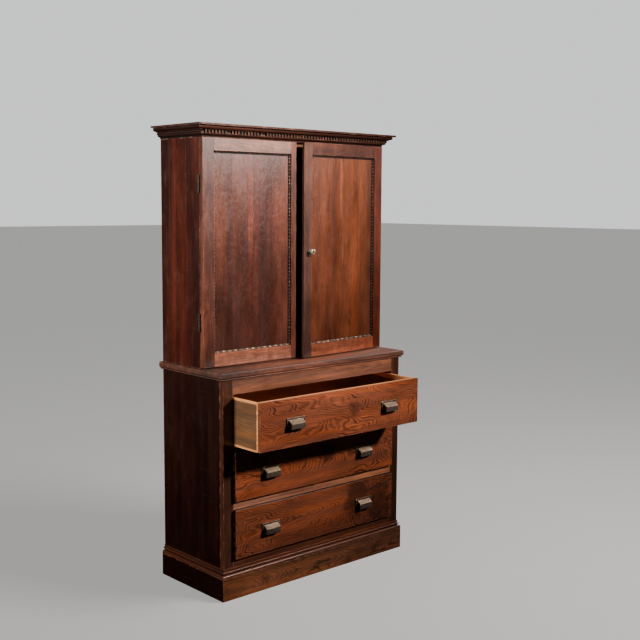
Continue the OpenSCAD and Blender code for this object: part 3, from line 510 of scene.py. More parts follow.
# How each finish is made, its material's name and its settings
FINISHES = {
    "case": (wood, "Varnished Cupboard Side", "case", dict(contrast=0.55, wear=0.6, coat=0.12, bloom=0.3, **SIDE)),
    "shade": (wood, "Varnished Base Side", "shade", dict(contrast=0.5, streak=0.35, coat=0.2, bloom=0.12, **SIDE)),
    "face": (wood, "Varnished Face Frame", "face", dict(ring=0.0045, contrast=0.55)),
    "top": (
        wood, "Varnished Top", "top",
        dict(ring=0.005, contrast=0.6, wear=0.9, coat=0.06, gloss=0.6, spots=TOP_SPOTS),
    ),
    "door": (wood, "Varnished Door Frame", "door", dict(spots=KNOB_SHADOW, **DOOR)),
    "panel": (
        wood, "Varnished Panel", "panel",
        dict(swirl=0.022, coat=0.8, gloss=0.26, stain=0.6, spots=PANEL_SHADE, **PANEL),
    ),
    "warm panel": (wood, "Varnished Warm Panel", "warm", dict(swirl=0.02, coat=0.65, gloss=0.27, **PANEL)),
    "drawer": (wood, "Varnished Drawer Front", "drawer", dict(lap=(0.0108, "raw"), **DRAWER)),
    # The shut drawers' fronts show the recesses' painted shade past their face
    "shut drawer": (wood, "Varnished Shut Drawer Front", "drawer", dict(lap=(0.0030, "recess"), **DRAWER)),
    "plinth": (wood, "Varnished Plinth", "plinth", dict(streak=0.3, stain=0.6, coat=0.3, **PLINTH)),
    "moulding": (wood, "Varnished Moulding", "moulding", MOULDING),
    "cornice": (wood, "Dark Cornice Moulding", "cornice", MOULDING),
    "bead": (wood, "Worn Beads", "bead", dict(wear=0.3, gloss=0.6, stain=0.2, **SMALL)),
    "dentil": (wood, "Dull Dentils", "dentil", dict(wear=0.3, gloss=0.7, **SMALL)),
    "recess": (wood, "Dirt in a Recess", "recess", dict(wear=0.1, gloss=0.8, **SMALL)),
    # Painted shade inside the cupboard
    "inner": (wood, "Stained Inside", "inner", dict(contrast=0.5, gloss=0.6, coat=0.0, stain=0.5)),
    "raw": (
        wood, "Raw Softwood", "raw",
        dict(contrast=0.5, streak=0.15, gloss=0.75, coat=0.0, chips=0.12, stain=0.35),
    ),
    "iron": (metal, "Bronzed Iron", "iron", dict(shine=0.25, up=0.95)),
    "steel": (metal, "Dull Iron", "steel", dict(rough=0.6, bare=0.3, shine=0.2)),
    "brass": (metal, "Worn Knob Brass", "brass", dict(rough=0.36, up=0.8)),
    # The rose darkened as painted shade
    "rose": (metal, "Tarnished Rose", "rose", dict(rough=0.5, bare=0.5, shine=0.3, up=0.6)),
    "pit": (metal, "Dark Pit", "pit", dict(rough=0.7, up=0.0)),
}
MADE = {}


def finish(name):
    """A finish by name, made the first time it is asked for."""
    if name not in MADE:
        maker, title, key, settings = FINISHES[name]
        MADE[name] = maker(title, key, **settings)
    return MADE[name]


# Boards


def body_of(node):
    return next(body for body, nodes in BODIES.items() if node in nodes)


def square_to(node):
    """The turn that brings a node's board square to the axes: only the right door stands at an angle."""
    if body_of(node) in {"right_door", "latch"}:
        place = Vector(RIGHT_HINGE["pos_m"])
        turn = Matrix.Rotation(math.radians(-AJAR), 4, "Z")
        return Matrix.Translation(place) @ turn @ Matrix.Translation(-place)
    return Matrix.Identity(4)


def ends_of(places):
    """The lowest and highest corners of the box round some places."""
    return [Vector([pick(p[k] for p in places) for k in range(3)]) for pick in (min, max)]


def square_box(node):
    """A node's lowest and highest corners once it stands square to the axes."""
    turn = square_to(node)
    return ends_of([turn @ v.co for v in frame["nodes"][node].data.vertices])


def islands(bm):
    """The separate solids of a mesh, as lists of vertices."""
    seen, found = set(), []
    for start in bm.verts:
        if start in seen:
            continue
        seen.add(start)
        solid, queue = [], [start]
        while queue:
            vert = queue.pop()
            solid.append(vert)
            for edge in vert.link_edges:
                other = edge.other_vert(vert)
                if other not in seen:
                    seen.add(other)
                    queue.append(other)
        found.append(solid)
    return found


def mark_boards(bm, turn, seed, pith=None, whole_box=None, across=None, tones=None):
    """Writes each board's grain coordinates, its distances to the faces of its box and its tone.

    Each board is cut at its own depth from the pith, unless that is given. Boards glued side by side across an axis
    share the outer faces of the whole. Tones are one for each board, or come from a function of its box.
    """
    layers = bm.verts.layers.float_vector
    board, from_low, from_high, tone = (layers.new(name) for name in ("board", "from_low", "from_high", "tone"))
    for number, solid in enumerate(islands(bm)):
        places = [turn @ v.co for v in solid]
        low, high = ends_of(places)
        size = high - low
        thin, wide, long = sorted(range(3), key=lambda k: size[k])
        rng = random.Random(1000 * seed + number)
        depth = rng.uniform(0.012, 0.05) if pith is None else pith
        aside = rng.uniform(-0.3, 0.3) * size[wide]
        start = rng.uniform(0.0, 6.0)
        shade = rng.uniform(0.9, 1.1)
        if tones:
            shade = tones(low, high) if callable(tones) else tones[number]
        face_low, face_high = low.copy(), high.copy()
        if whole_box:
            face_low[across], face_high[across] = whole_box[0][across], whole_box[1][across]
        for vert, p in zip(solid, places):
            q = p - (low + high) / 2
            vert[board] = (q[wide] + aside, q[thin] + size[thin] / 2 + depth, q[long] + start)
            vert[from_low] = p - face_low
            vert[from_high] = face_high - p
            vert[tone] = shade if isinstance(shade, tuple) else (shade, shade, shade)


def welded(node):
    """A copy of a CAD node's mesh with its triangles joined into whole faces."""
    bm = bmesh.new()
    bm.from_mesh(frame["nodes"][node].data)
    bmesh.ops.remove_doubles(bm, verts=bm.verts, dist=1e-6)
    bmesh.ops.dissolve_limit(bm, angle_limit=math.radians(0.3), verts=bm.verts, edges=bm.edges)
    return bm


def ease(bm, width, angle=28.0):
    """Bevels the arrises of a mesh, and notes the middle of each bevel in the attribute edge."""
    sharp = [e for e in bm.edges if e.is_manifold and e.calc_face_angle(0.0) > math.radians(angle)]
    made = bmesh.ops.bevel(
        bm, geom=sharp, offset=width, offset_type="OFFSET", segments=2, profile=0.6, affect="EDGES",
        clamp_overlap=True,
    )
    bevels = set(made["faces"])
    edge = bm.verts.layers.float.new("edge")
    for vert in bm.verts:
        vert[edge] = float(bool(vert.link_faces) and all(face in bevels for face in vert.link_faces))


def note_edge(bm, value):
    """Notes one value in the attribute edge all over a mesh."""
    edge = bm.verts.layers.float.new("edge")
    for vert in bm.verts:
        vert[edge] = value


def hollows(bm):
    """Notes the inner corners of a mesh in the attribute hollow, where the finishes paint shade and dirt."""
    hollow = bm.verts.layers.float.new("hollow")
    for vert in bm.verts:
        inward = sum(max(0.0, -e.calc_face_angle_signed(0.0)) for e in vert.link_edges if e.is_manifold)
        vert[hollow] = min(1.0, inward / 0.5)


def cut_across(bm, place, normal, **settings):
    """Cuts a mesh along a plane, and returns what the cut made."""
    whole = bm.verts[:] + bm.edges[:] + bm.faces[:]
    return bmesh.ops.bisect_plane(bm, geom=whole, dist=1e-7, plane_co=place, plane_no=normal, **settings)["geom_cut"]


def chip(bm, seed, step, depth, low, high):
    """Breaks up the edges that run along X inside a box, by up to a depth."""
    x = min(v.co.x for v in bm.verts) + step
    end = max(v.co.x for v in bm.verts)
    while x < end - step / 2:
        cut_across(bm, (x, 0.0, 0.0), (1.0, 0.0, 0.0))
        x += step
    edge = bm.verts.layers.float.get("edge")
    for vert in bm.verts:
        p = vert.co
        if all(a <= b <= c for a, b, c in zip(low, p, high)):
            coarse, fine = (noise.noise(Vector((p.x * scale, seed, y))) for scale, y in ((38.0, 0.0), (130.0, 5.0)))
            amount = max(0.0, coarse + 0.6 * fine - 0.22) * 2.2 * depth
            inward = Vector((0.0, 1.0, -0.7 if p.z > (low[2] + high[2]) / 2 else 0.7))
            vert.co = p + min(amount, depth) * inward * (1.0 if vert[edge] > 0.5 else 0.5)


def keep(bm, name, node, coats, smooth=None):
    """Makes a mesh a finished piece that stands in for a CAD node."""
    mesh = bpy.data.meshes.new(name)
    bm.to_mesh(mesh)
    bm.free()
    piece = bpy.data.objects.new(name, mesh)
    bpy.context.scene.collection.objects.link(piece)
    for coat in coats:
        mesh.materials.append(finish(coat))
    if smooth is not None:
        mesh.shade_smooth()
        mesh.set_sharp_from_angle(angle=math.radians(smooth))
    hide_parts(node)
    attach(piece, body_of(node))


def eased_board(node, coat, seed, width=None, smooth=None, pith=None, tones=None, chips=None):
    """Stands an eased and grained copy in for a CAD node."""
    bm = welded(node)
    ease(bm, width or bpy.context.scene.cabinet_sizes.arris)
    if chips:
        chip(bm, seed, *chips)
    hollows(bm)
    mark_boards(bm, square_to(node), seed, pith, tones=tones)
    keep(bm, node + "_finished", node, [coat], smooth)


def part_of(bm, turn, axis, low, high):
    """The closed part of a mesh between two planes across an axis."""
    part = bm.copy()
    back = turn.inverted()
    for place, inward in ((low, 1.0), (high, -1.0)):
        spot, normal = Vector((0.0, 0.0, 0.0)), Vector((0.0, 0.0, 0.0))
        spot[axis], normal[axis] = place, inward
        normal = back.to_3x3() @ normal
        cut = cut_across(part, back @ spot, normal, clear_inner=True)
        rim = [e for e in cut if isinstance(e, bmesh.types.BMEdge)]
        if rim:
            bmesh.ops.triangle_fill(part, use_beauty=True, use_dissolve=True, edges=rim, normal=-normal)
    return part


def merge(target, source):
    """Adds one mesh to another."""
    mesh = bpy.data.meshes.new("merged")
    source.to_mesh(mesh)
    source.free()
    target.from_mesh(mesh)
    bpy.data.meshes.remove(mesh)


def glued_boards(node, coat, seed, axis, joints, tones=None):
    """Stands boards glued edge to edge in for a CAD node, parted at places along an axis."""
    turn = square_to(node)
    whole = welded(node)
    low, high = square_box(node)
    bm = bmesh.new()
    bounds = [low[axis] - 0.01, *joints, high[axis] + 0.01]
    for start, end in zip(bounds, bounds[1:]):
        merge(bm, part_of(whole, turn, axis, start, end))
    whole.free()
    ease(bm, GLUED_ARRIS)
    mark_boards(bm, turn, seed, whole_box=(low, high), across=axis, tones=tones)
    keep(bm, node + "_glued", node, [coat])


def box_mesh(bm, low, high):
    """Adds a closed box, and returns its corners: X changes first, then Y, then Z."""
    x, y, z = zip(low, high)
    corners = [bm.verts.new((x[i], y[j], z[k])) for k in (0, 1) for j in (0, 1) for i in (0, 1)]
    for face in ((0, 2, 3, 1), (4, 5, 7, 6), (0, 1, 5, 4), (2, 6, 7, 3), (0, 4, 6, 2), (1, 3, 7, 5)):
        bm.faces.new([corners[i] for i in face])
    return corners


def merge_strip(bm, strip):
    """Adds a strip to a mesh, in the second of its finishes."""
    for face in strip.faces:
        face.material_index = 1
    merge(bm, strip)


def turned(bm, profile, centre, axis, steps, start=0.0):
    """Adds a closed solid turned about an axis through centre, from (radius, height) pairs."""
    side = axis.orthogonal().normalized()
    up = axis.cross(side)
    rows = []
    for radius, height in profile:
        angles = [start + math.tau * i / steps for i in range(steps)] if radius > 1e-6 else [start]
        rows.append([
            bm.verts.new(centre + height * axis + radius * (math.cos(angle) * side + math.sin(angle) * up))
            for angle in angles
        ])
    made = []
    for lower, upper in zip(rows, rows[1:]):
        for i in range(steps):
            j = (i + 1) % steps
            ring = [lower[i % len(lower)], lower[j % len(lower)], upper[j % len(upper)], upper[i % len(upper)]]
            corners = list(dict.fromkeys(ring))
            if len(corners) > 2:
                made.append(bm.faces.new(corners))
    return made


def repaint(node, coat):
    """Gives a CAD node that stays its finish."""
    data = frame["nodes"][node].data
    data.materials.clear()
    data.materials.append(finish(coat))


# Repeats, grown by Geometry Nodes


def new_growth(name, takes):
    """A Geometry Nodes tree that takes a geometry, its settings and a finish."""
    takes = {"Geometry": GEOMETRY, **takes, "Finish": MATERIAL}
    return new_tree(name, takes, ("Geometry",), "GeometryNodeTree", GEOMETRY)


def give(tree, given, result, geometry):
    """Ends a tree: instances made real, and the finish set."""
    real = first(tree, "GeometryNodeRealizeInstances", {"Geometry": geometry})
    done = first(tree, "GeometryNodeSetMaterial", {"Geometry": real, "Material": given["Finish"]})
    put(tree, result, {"Geometry": done})
    return tree


def places_along(tree, given):
    """Points along the given geometry's edges, a pitch apart."""
    run = first(tree, "GeometryNodeMeshToCurve", {"Mesh": given["Geometry"]})
    return first(tree, "GeometryNodeResampleCurve", {"Curve": run, "Length": given["Pitch"]}, mode="LENGTH")


def bead_and_reel():
    """Beads along a run, each with a reel at either side."""
    tree, given, result = new_growth("Bead and Reel", {
        "Pitch": 0.0295, "Bead Radius": 0.0042, "Bead Length": 0.0135, "Reel Spacing": 0.0086, "Reel Length": 0.0038,
    })
    places = places_along(tree, given)
    tangent = first(tree, "GeometryNodeInputTangent")
    rotation = first(tree, "FunctionNodeAlignRotationToVector", {"Vector": tangent}, axis="Z")
    half = times(tree, minus(tree, given["Pitch"], given["Reel Spacing"]), 0.5)
    whole = tree.nodes.new("GeometryNodeJoinGeometry")
    for offset, part, rings in ((0.0, "Bead Length", 8), (1.0, "Reel Length", 4), (-1.0, "Reel Length", 4)):
        ball = first(tree, "GeometryNodeMeshUVSphere", {"Segments": 10, "Rings": rings, "Radius": 1.0})
        size = xyz(tree, given["Bead Radius"], given["Bead Radius"], times(tree, given[part], 0.5))
        ball = first(tree, "GeometryNodeTransform", {"Geometry": ball, "Scale": size})
        spots = places
        if offset:
            shift = {0: tangent, "Scale": times(tree, half, offset)}
            shift = first(tree, "ShaderNodeVectorMath", shift, operation="SCALE")
            spots = first(tree, "GeometryNodeSetPosition", {"Geometry": places, "Offset": shift})
        balls = first(tree, "GeometryNodeInstanceOnPoints", {"Points": spots, "Instance": ball, "Rotation": rotation})
        tree.links.new(balls, whole.inputs[0])
    return give(tree, given, result, whole.outputs[0])


def dentil_row():
    """Dentils along a run, slightly uneven, with two gaps where one has fallen out."""
    tree, given, result = new_growth("Dentil Row", {
        "Pitch": 0.016, "Width": 0.0068, "Depth": 0.008, "Height": 0.0098, "First Gap": -0.376, "Second Gap": -0.210,
        "Unevenness": 0.05, "Seed": 4,
    })
    places = places_along(tree, given)
    block = first(tree, "GeometryNodeMeshCube", {"Size": xyz(tree, given["Width"], given["Depth"], given["Height"])})
    x = parts_of(tree, first(tree, "GeometryNodeInputPosition"))["X"]
    half = times(tree, given["Pitch"], 0.5)
    kept = [
        calc(tree, "GREATER_THAN", calc(tree, "ABSOLUTE", minus(tree, x, given[gap])), half)
        for gap in ("First Gap", "Second Gap")
    ]
    least = minus(tree, 1.0, times(tree, given["Unevenness"], 2.0))
    drawn = {0: xyz(tree, least, least, 1.0), 1: (1.0, 1.0, 1.0), "Seed": given["Seed"]}
    drawn = first(tree, "FunctionNodeRandomValue", drawn, data_type="FLOAT_VECTOR")
    row = first(tree, "GeometryNodeInstanceOnPoints", {
        "Points": places, "Selection": times(tree, *kept), "Instance": block, "Scale": drawn,
    })
    return give(tree, given, result, row)


def slotted_screws():
    """A slotted screw head on each point, looking along the point's attribute out."""
    tree, given, result = new_growth("Slotted Screws", {"Radius": 0.0032, "Height": 0.0011, "Slot": 0.0007, "Seed": 2})
    radius = given["Radius"]
    crown = first(tree, "GeometryNodeMeshUVSphere", {"Segments": 14, "Rings": 6, "Radius": radius})
    crown = first(tree, "GeometryNodeTransform", {"Geometry": crown, "Scale": xyz(tree, 0.96, 0.96, 0.5)})
    slot = xyz(tree, given["Slot"], times(tree, radius, 3.0), given["Height"])
    slot = first(tree, "GeometryNodeMeshCube", {"Size": slot})
    raised = xyz(tree, z=times(tree, radius, 0.5))
    slot = first(tree, "GeometryNodeTransform", {"Geometry": slot, "Translation": raised})
    head = first(tree, "GeometryNodeMeshBoolean", {0: crown, 1: slot}, operation="DIFFERENCE")
    spin = {2: -1.2, 3: 1.2, "Seed": given["Seed"]}
    spin = add(tree, "FunctionNodeRandomValue", spin, data_type="FLOAT").outputs[1]
    turn = first(tree, "FunctionNodeEulerToRotation", {0: xyz(tree, z=spin)})
    out = first(tree, "GeometryNodeInputNamedAttribute", {"Name": "out"}, data_type="FLOAT_VECTOR")
    turn = first(tree, "FunctionNodeAlignRotationToVector", {"Rotation": turn, "Vector": out}, axis="Z")
    heads = {"Points": given["Geometry"], "Instance": head, "Rotation": turn}
    return give(tree, given, result, first(tree, "GeometryNodeInstanceOnPoints", heads))


def grown(maker, points, edges, values, coat, out=None):
    """The mesh that a tree grows on points and edges, with its modifier removed again."""
    mesh = bpy.data.meshes.new("run")
    mesh.from_pydata(points, edges, [])
    if out:
        layer = mesh.attributes.new("out", "FLOAT_VECTOR", "POINT")
        layer.data.foreach_set("vector", [x for _ in points for x in out])
    host = bpy.data.objects.new("run", mesh)
    bpy.context.scene.collection.objects.link(host)
    modifier = host.modifiers.new("growth", "NODES")
    modifier.node_group = shared(maker)
    values = {**values, "Finish": finish(coat)}
    for item in shared(maker).interface.items_tree:
        if item.in_out == "INPUT" and item.name in values:
            modifier[item.identifier] = values[item.name]
    depsgraph = bpy.context.evaluated_depsgraph_get()
    result = bpy.data.meshes.new_from_object(host.evaluated_get(depsgraph), depsgraph=depsgraph)
    host.modifiers.remove(modifier)
    bpy.data.objects.remove(host)
    bpy.data.meshes.remove(mesh)
    bm = bmesh.new()
    bm.from_mesh(result)
    bpy.data.meshes.remove(result)
    bmesh.ops.remove_doubles(bm, verts=bm.verts, dist=1e-7)
    for face in bm.faces:
        face.material_index = 0
    return bm


# Steps


# Widths of the bevels that the settings don't hold
GLUED_ARRIS = METAL_ARRIS = 0.0004
MOULDING_ARRIS = 0.0005
DENTIL_ARRIS = 0.0006
PULL_ARRIS = 0.0007

# Where the boards of a side or a panel are glued together, and the tones that multiply the panels' colours
SIDE_JOINTS = {"base_sides": (0.100, 0.265), "upper_sides": (0.242, 0.356)}
PANEL_JOINTS = {"left_panel": (-0.347, -0.264, -0.238), "right_panel": (0.229, 0.243, 0.388)}
PANEL_TONES = {
    "left_panel": (0.92, 0.98, (1.35, 1.08, 1.00), (0.92, 0.86, 0.86)),
    "right_panel": ((0.86, 0.84, 0.90), (1.28, 1.18, 1.05), 1.12, 0.98),
}

# The tones of the face frame's boards, partly their own colour and partly painted light and shade: the rails under the
# top and between the drawers lightened, the lowest rail and the stiles darkened
TOP_RAIL, MIDDLE_RAIL, OTHER_RAILS, FACE_STILES = (1.55, 2.0, 2.5), (3.1, 3.8, 4.2), 0.7, 0.62

# The tones of each door's top rail, bottom rail, hinge stile and closing stile, partly the boards' own colour and
# partly painted light and shade: lighter along the feet, darker on the right door and on the stiles
DOOR_TONES = {
    "left": ((0.95, 1.05, 1.10), (2.85, 2.75, 2.40), (0.66, 0.56, 0.55), (0.84, 0.68, 0.64)),
    "right": ((0.52, 0.44, 0.42), (2.80, 2.10, 1.40), (0.88, 0.44, 0.24), (0.56, 0.62, 0.72)),
}
# Painted light and shade on the beads and their strips: lightened along the foot, darkened along the top under the rail
# and, less, at the sides
BEAD_LIGHT_AND_SHADE = {"foot": (2.2, 2.6, 2.9), "sides": (0.62, 0.62, 0.68), "top": (0.16, 0.12, 0.11)}


class CABINET_OT_case(bpy.types.Operator):
    """Finish the boards of both cases, inside and out"""

    bl_idname = "cabinet.case"
    bl_label = "Case Boards"

    def execute(self, context):
        for seed, (node, coat) in enumerate((
            ("plinth_front", "plinth"), ("plinth_sides", "shade"), ("plinth_back", "raw"), ("base_bottom", "raw"),
            ("drawer_runners", "raw"), ("drawer_guides", "raw"), ("drawer_stops", "raw"),
            ("upper_bottom", "inner"), ("upper_top", "inner"), ("shelves", "inner"), ("centre_post", "inner"),
        )):
            eased_board(node, coat, seed)
        eased_board("face_rails", "face", 24, tones=self.rail_tone)
        eased_board("face_stiles", "face", 3, tones=(FACE_STILES, FACE_STILES))
        low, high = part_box("base_top")
        # The box round the front edge, above its moulding, where the top is knocked about
        nose = ((low.x, low.y - 0.001, low.z + 0.012), (high.x, low.y + 0.0012, high.z + 0.001))
        step, depth = 0.007, 0.0028
        eased_board("base_top", "top", 25, chips=(step, depth, *nose), smooth=30)
        for seed, (node, coat) in enumerate((("base_sides", "shade"), ("upper_sides", "case"))):
            glued_boards(node, coat, 20 + seed, 1, SIDE_JOINTS[node])
        eased_board("base_back", "raw", 22)
        eased_board("upper_back", "inner", 23)
        return {"FINISHED"}

    def rail_tone(self, low, high):
        """The rail under the top, the ones between the drawers, then the lowest"""
        return TOP_RAIL if low.z > 0.8 else MIDDLE_RAIL if low.z > 0.3 else OTHER_RAILS


class CABINET_OT_mouldings(bpy.types.Operator):
    """Finish the plinth's and the cornice's mouldings, and set the dentils"""

    bl_idname = "cabinet.mouldings"
    bl_label = "Mouldings"

    def execute(self, context):
        for seed, node in enumerate((
            "plinth_cap_front", "plinth_cap_sides", "bed_front", "bed_sides", "crown_front", "crown_sides",
            "cornice_cap",
        )):
            coat = "moulding" if "plinth" in node else "cornice"
            # The side mouldings are darkened as painted shade
            tones = (0.5, 0.5) if node.endswith("_sides") else None
            eased_board(node, coat, 40 + seed, width=MOULDING_ARRIS, smooth=22, tones=tones)
        eased_board("cornice_frame", "raw", 50)
        self.dentils(context.scene.cabinet_sizes)
        return {"FINISHED"}

    def dentils(self, sizes):
        """A strip, dark with painted shade, with a row of dentils before it"""
        low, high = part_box("dentil_strip")
        depth, foot, behind = 0.008, 0.0001, 0.0002
        middle = low.y + depth / 2 + behind
        count = int((high.x - low.x - sizes.dentil_pitch / 2) / sizes.dentil_pitch)
        reach = sizes.dentil_pitch * (count - 1) / 2
        z = (low.z + high.z) / 2
        bm = grown(dentil_row, [(-reach, middle, z), (reach, middle, z)], [(0, 1)], {
            "Pitch": sizes.dentil_pitch * 1.0001, "Width": sizes.dentil_width, "Depth": depth,
            "Height": high.z - low.z - 2 * foot,
        }, "dentil")
        ease(bm, DENTIL_ARRIS)
        strip = bmesh.new()
        box_mesh(strip, (low.x, low.y + depth, low.z), high)
        merge_strip(bm, strip)
        mark_boards(bm, Matrix.Identity(4), 51)
        keep(bm, "dentils", "dentil_strip", ["dentil", "recess"])


class CABINET_OT_doors(bpy.types.Operator):
    """Finish the door frames, glue up the panels and carve the beads around them"""

    bl_idname = "cabinet.doors"
    bl_label = "Doors"

    def execute(self, context):
        for seed, (side, hinge) in enumerate((("left", -1.0), ("right", 1.0))):
            top, foot, hung, closing = DOOR_TONES[side]
            eased_board(side + "_rails", "door", 62 + seed, tones=lambda low, high: top if low.z > 1.4 else foot)
            eased_board(
                side + "_stiles", "door", 60 + seed,
                tones=lambda low, high: hung if hinge * (low.x + high.x) > 0.5 else closing,
            )
        for seed, (node, coat) in enumerate((("left_panel", "panel"), ("right_panel", "warm panel"))):
            glued_boards(node, coat, 70 + seed, 0, PANEL_JOINTS[node], PANEL_TONES[node])
        for node in ("left_bead", "right_bead"):
            self.beading(node, context.scene.cabinet_sizes)
        return {"FINISHED"}

    def beading(self, node, sizes):
        """A bead and reel moulding on a strip around a panel's opening, sloped down its sides"""
        low, high = square_box(node)
        # The strips' width and thickness, how far back the side ones begin, how thin they end, and a run's height
        wide, thick, setback, thin, run = 0.0085, 0.0052, 0.0015, 0.0006, 0.012
        front, middle = high.y - thick, (low.y + high.y) / 2
        inset, end = wide / 2, sizes.bead_pitch / 2
        x0, x1, z0, z1 = low.x + inset, high.x - inset, low.z + inset, high.z - inset
        foot = [(x0 + end, front, z0), (x1 - end, front, z0)]
        bm = grown(bead_and_reel, foot, [(0, 1)], {"Pitch": sizes.bead_pitch, "Bead Radius": sizes.bead_radius}, "bead")
        ends = ((x0, z0 + end), (x0, z1 - end), (x1, z0 + end), (x1, z1 - end), (x0 + end, z1), (x1 - end, z1))
        merge(bm, grown(bead_and_reel, [(x, middle, z) for x, z in ends], [(0, 1), (2, 3), (4, 5)], {
            "Pitch": sizes.bead_pitch / 2, "Bead Radius": inset - 0.0002, "Bead Length": sizes.bead_pitch / 5,
            "Reel Spacing": 0.0, "Reel Length": 0.0016,
        }, "bead"))
        # The strips behind the beads, dark with painted shade
        strip = bmesh.new()
        for z in (low.z, high.z - wide):
            box_mesh(strip, (low.x + wide, front, z), (high.x - wide, high.y, z + wide))
        for x, inner in ((low.x, 1), (high.x - wide, 0)):
            corners = box_mesh(strip, (x, low.y + setback, low.z), (x + wide, high.y, high.z))
            for i in (inner, inner + 4):
                corners[i].co.y = high.y - thin
        merge_strip(bm, strip)

        # Painted light along the foot, painted shade along the top and at the sides
        def tone(a, b):
            return BEAD_LIGHT_AND_SHADE["foot" if b.z < low.z + run else "top" if a.z > high.z - run else "sides"]

        mark_boards(bm, Matrix.Identity(4), 75, tones=tone)
        bmesh.ops.transform(bm, matrix=square_to(node).inverted(), verts=bm.verts)
        keep(bm, node + "_carved", node, ["bead", "recess"], 40)


class CABINET_OT_drawers(bpy.types.Operator):
    """Finish the drawers' fronts and boxes"""

    bl_idname = "cabinet.drawers"
    bl_label = "Drawers"

    def execute(self, context):
        for i in (1, 2, 3):
            eased_board(f"drawer{i}_front", "drawer" if i == 1 else "shut drawer", 80 + i, pith=0.03)
            for part in ("sides", "back", "bottom"):
                eased_board(f"drawer{i}_{part}", "raw", 90 + i)
        return {"FINISHED"}


class CABINET_OT_metalwork(bpy.types.Operator):
    """Finish the pulls with their screws, the hinges, the bolt and the knob"""

    bl_idname = "cabinet.metalwork"
    bl_label = "Metalwork"

    def execute(self, context):
        for i in (1, 2, 3):
            self.pulls(i, context.scene.cabinet_sizes)
        for node in ("hinge_case_leaves", "left_hinge_leaves", "right_hinge_leaves", "bolt_plate", "knob_tongue"):
            bm = welded(node)
            ease(bm, METAL_ARRIS)
            keep(bm, node + "_finished", node, ["steel"])
        for node in ("hinge_pins", "bolt"):
            repaint(node, "steel")
        self.knob()
        return {"FINISHED"}

    def pulls(self, i, sizes):
        """The hoods and rimmed plates of one drawer, each plate with four screws"""
        node = f"drawer{i}_pulls"
        bm = welded(node)
        ease(bm, PULL_ARRIS)
        low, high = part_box(node)
        # Half a plate's width, its thickness, and how far in from its edges the screws are
        half, plate, in_x, in_z = 0.048, 0.0024, 0.0068, 0.0075
        spots = [
            (side * (high.x - half) + across * (half - in_x), high.y - plate, z)
            for side in (-1.0, 1.0) for across in (-1.0, 1.0) for z in (low.z + in_z, high.z - in_z)
        ]
        values = {"Radius": sizes.screw_radius, "Seed": i}
        screws = grown(slotted_screws, spots, [], values, "iron", (0.0, -1.0, 0.0))
        note_edge(screws, 0.6)
        merge(bm, screws)
        keep(bm, node + "_worn", node, ["iron"], 35)

    def knob(self):
        """An eight-sided head with a dark eye, on a turned neck and a domed rose"""
        back = square_to("knob").inverted()
        low, high = square_box("knob")
        face = square_box("knob_rose")[1].y
        centre = Vector(((low.x + high.x) / 2, face, (low.z + high.z) / 2))
        out = Vector((0.0, -1.0, 0.0))
        reach, wide = face - low.y, (high.x - low.x) / 2
        # Profiles as radius and height above the door
        head = [
            (0.0, reach - 0.0125), (0.0062, reach - 0.0122), (0.0112, reach - 0.0104), (wide - 0.0008, reach - 0.0082),
            (wide, reach - 0.0064), (wide, reach - 0.0046), (wide - 0.0010, reach - 0.0026), (0.0098, reach - 0.0004),
            (0.0074, reach), (0.0050, reach - 0.0007), (0.0040, reach - 0.0022), (0.0, reach - 0.0022),
        ]
        neck = [
            (0.0, 0.0045), (0.0085, 0.0045), (0.0088, 0.0058), (0.0070, 0.0072), (0.0050, 0.0090), (0.0046, 0.0122),
            (0.0056, 0.0134), (0.0056, 0.0142), (0.0048, 0.0150), (0.0062, reach - 0.0128), (0.0, reach - 0.0126),
        ]
        eye = [
            (0.0, reach - 0.0024), (0.0036, reach - 0.0024), (0.0034, reach - 0.0014), (0.0022, reach - 0.0010),
            (0.0, reach - 0.0009),
        ]
        spindle = [(0.0, -0.0388), (0.0038, -0.0388), (0.0038, 0.0048), (0.0, 0.0048)]
        rose = [
            (0.0040, 0.0), (0.0110, 0.0), (0.0110, 0.0010), (0.0100, 0.0024), (0.0080, 0.0038), (0.0058, 0.0044),
            (0.0040, 0.0044), (0.0040, 0.0),
        ]
        bm = bmesh.new()
        turned(bm, head, centre, out, 8, math.pi / 8)
        turned(bm, neck, centre, out, 32)
        for part in turned(bm, eye, centre, out, 24):
            part.material_index = 1
        turned(bm, spindle, centre, out, 16)
        note_edge(bm, 0.75)
        self.keep_turned(bm, "knob", back, ["brass", "pit"], 32)
        bm = bmesh.new()
        turned(bm, rose, centre, out, 40)
        bmesh.ops.remove_doubles(bm, verts=bm.verts, dist=1e-7)
        self.keep_turned(bm, "knob_rose", back, ["rose"], 40)

    def keep_turned(self, bm, node, back, coats, smooth):
        """Stands turned solids in for a CAD node, swung back to where the door stands"""
        bmesh.ops.recalc_face_normals(bm, faces=bm.faces)
        bmesh.ops.transform(bm, matrix=back, verts=bm.verts)
        keep(bm, node + "_turned", node, coats, smooth)


# Each lamp's place, the point it faces, its size and its spread in degrees
LAMPS = {
    "high_key": ((0.31, -2.79, 3.0), (-0.30, 0.12, 2.0), 0.5, 42),
    "low_key": ((1.76, -2.2, 2.25), (-0.28, -0.1, 0.8), 0.28, 46),
    "sheen": ((2.36, -3.19, 2.62), (-0.25, 0.12, 1.75), 1.25, 180),
    "left_side": ((-3.3, 0.65, 2.1), (-0.5, 0.2, 1.3), 1.2, 60),
    "right_side": ((3.3, 0.65, 2.1), (0.5, 0.2, 1.3), 1.2, 60),
    "overhead": ((1.6, -2.0, 3.8), (0.0, 0.0, 0.0), 1.5, 180),
}
LAMP_COLOUR = (1.0, 0.965, 0.92)

# The camera's place, its turn to the right, its tilt down and its roll in radians, and its lens
CAMERA_PLACE = (-2.8815, -3.1885, 1.5896)
YAW, PITCH, ROLL = 0.737, 0.113, 0.006
LENS, SENSOR = 57.55, 36.0

# How far the floor reaches, how much of its colour it lights the pieces with, and how brightly it shows
FLOOR_REACH, FLOOR_DIM, FLOOR_GLOW = 60, 0.06, 0.55


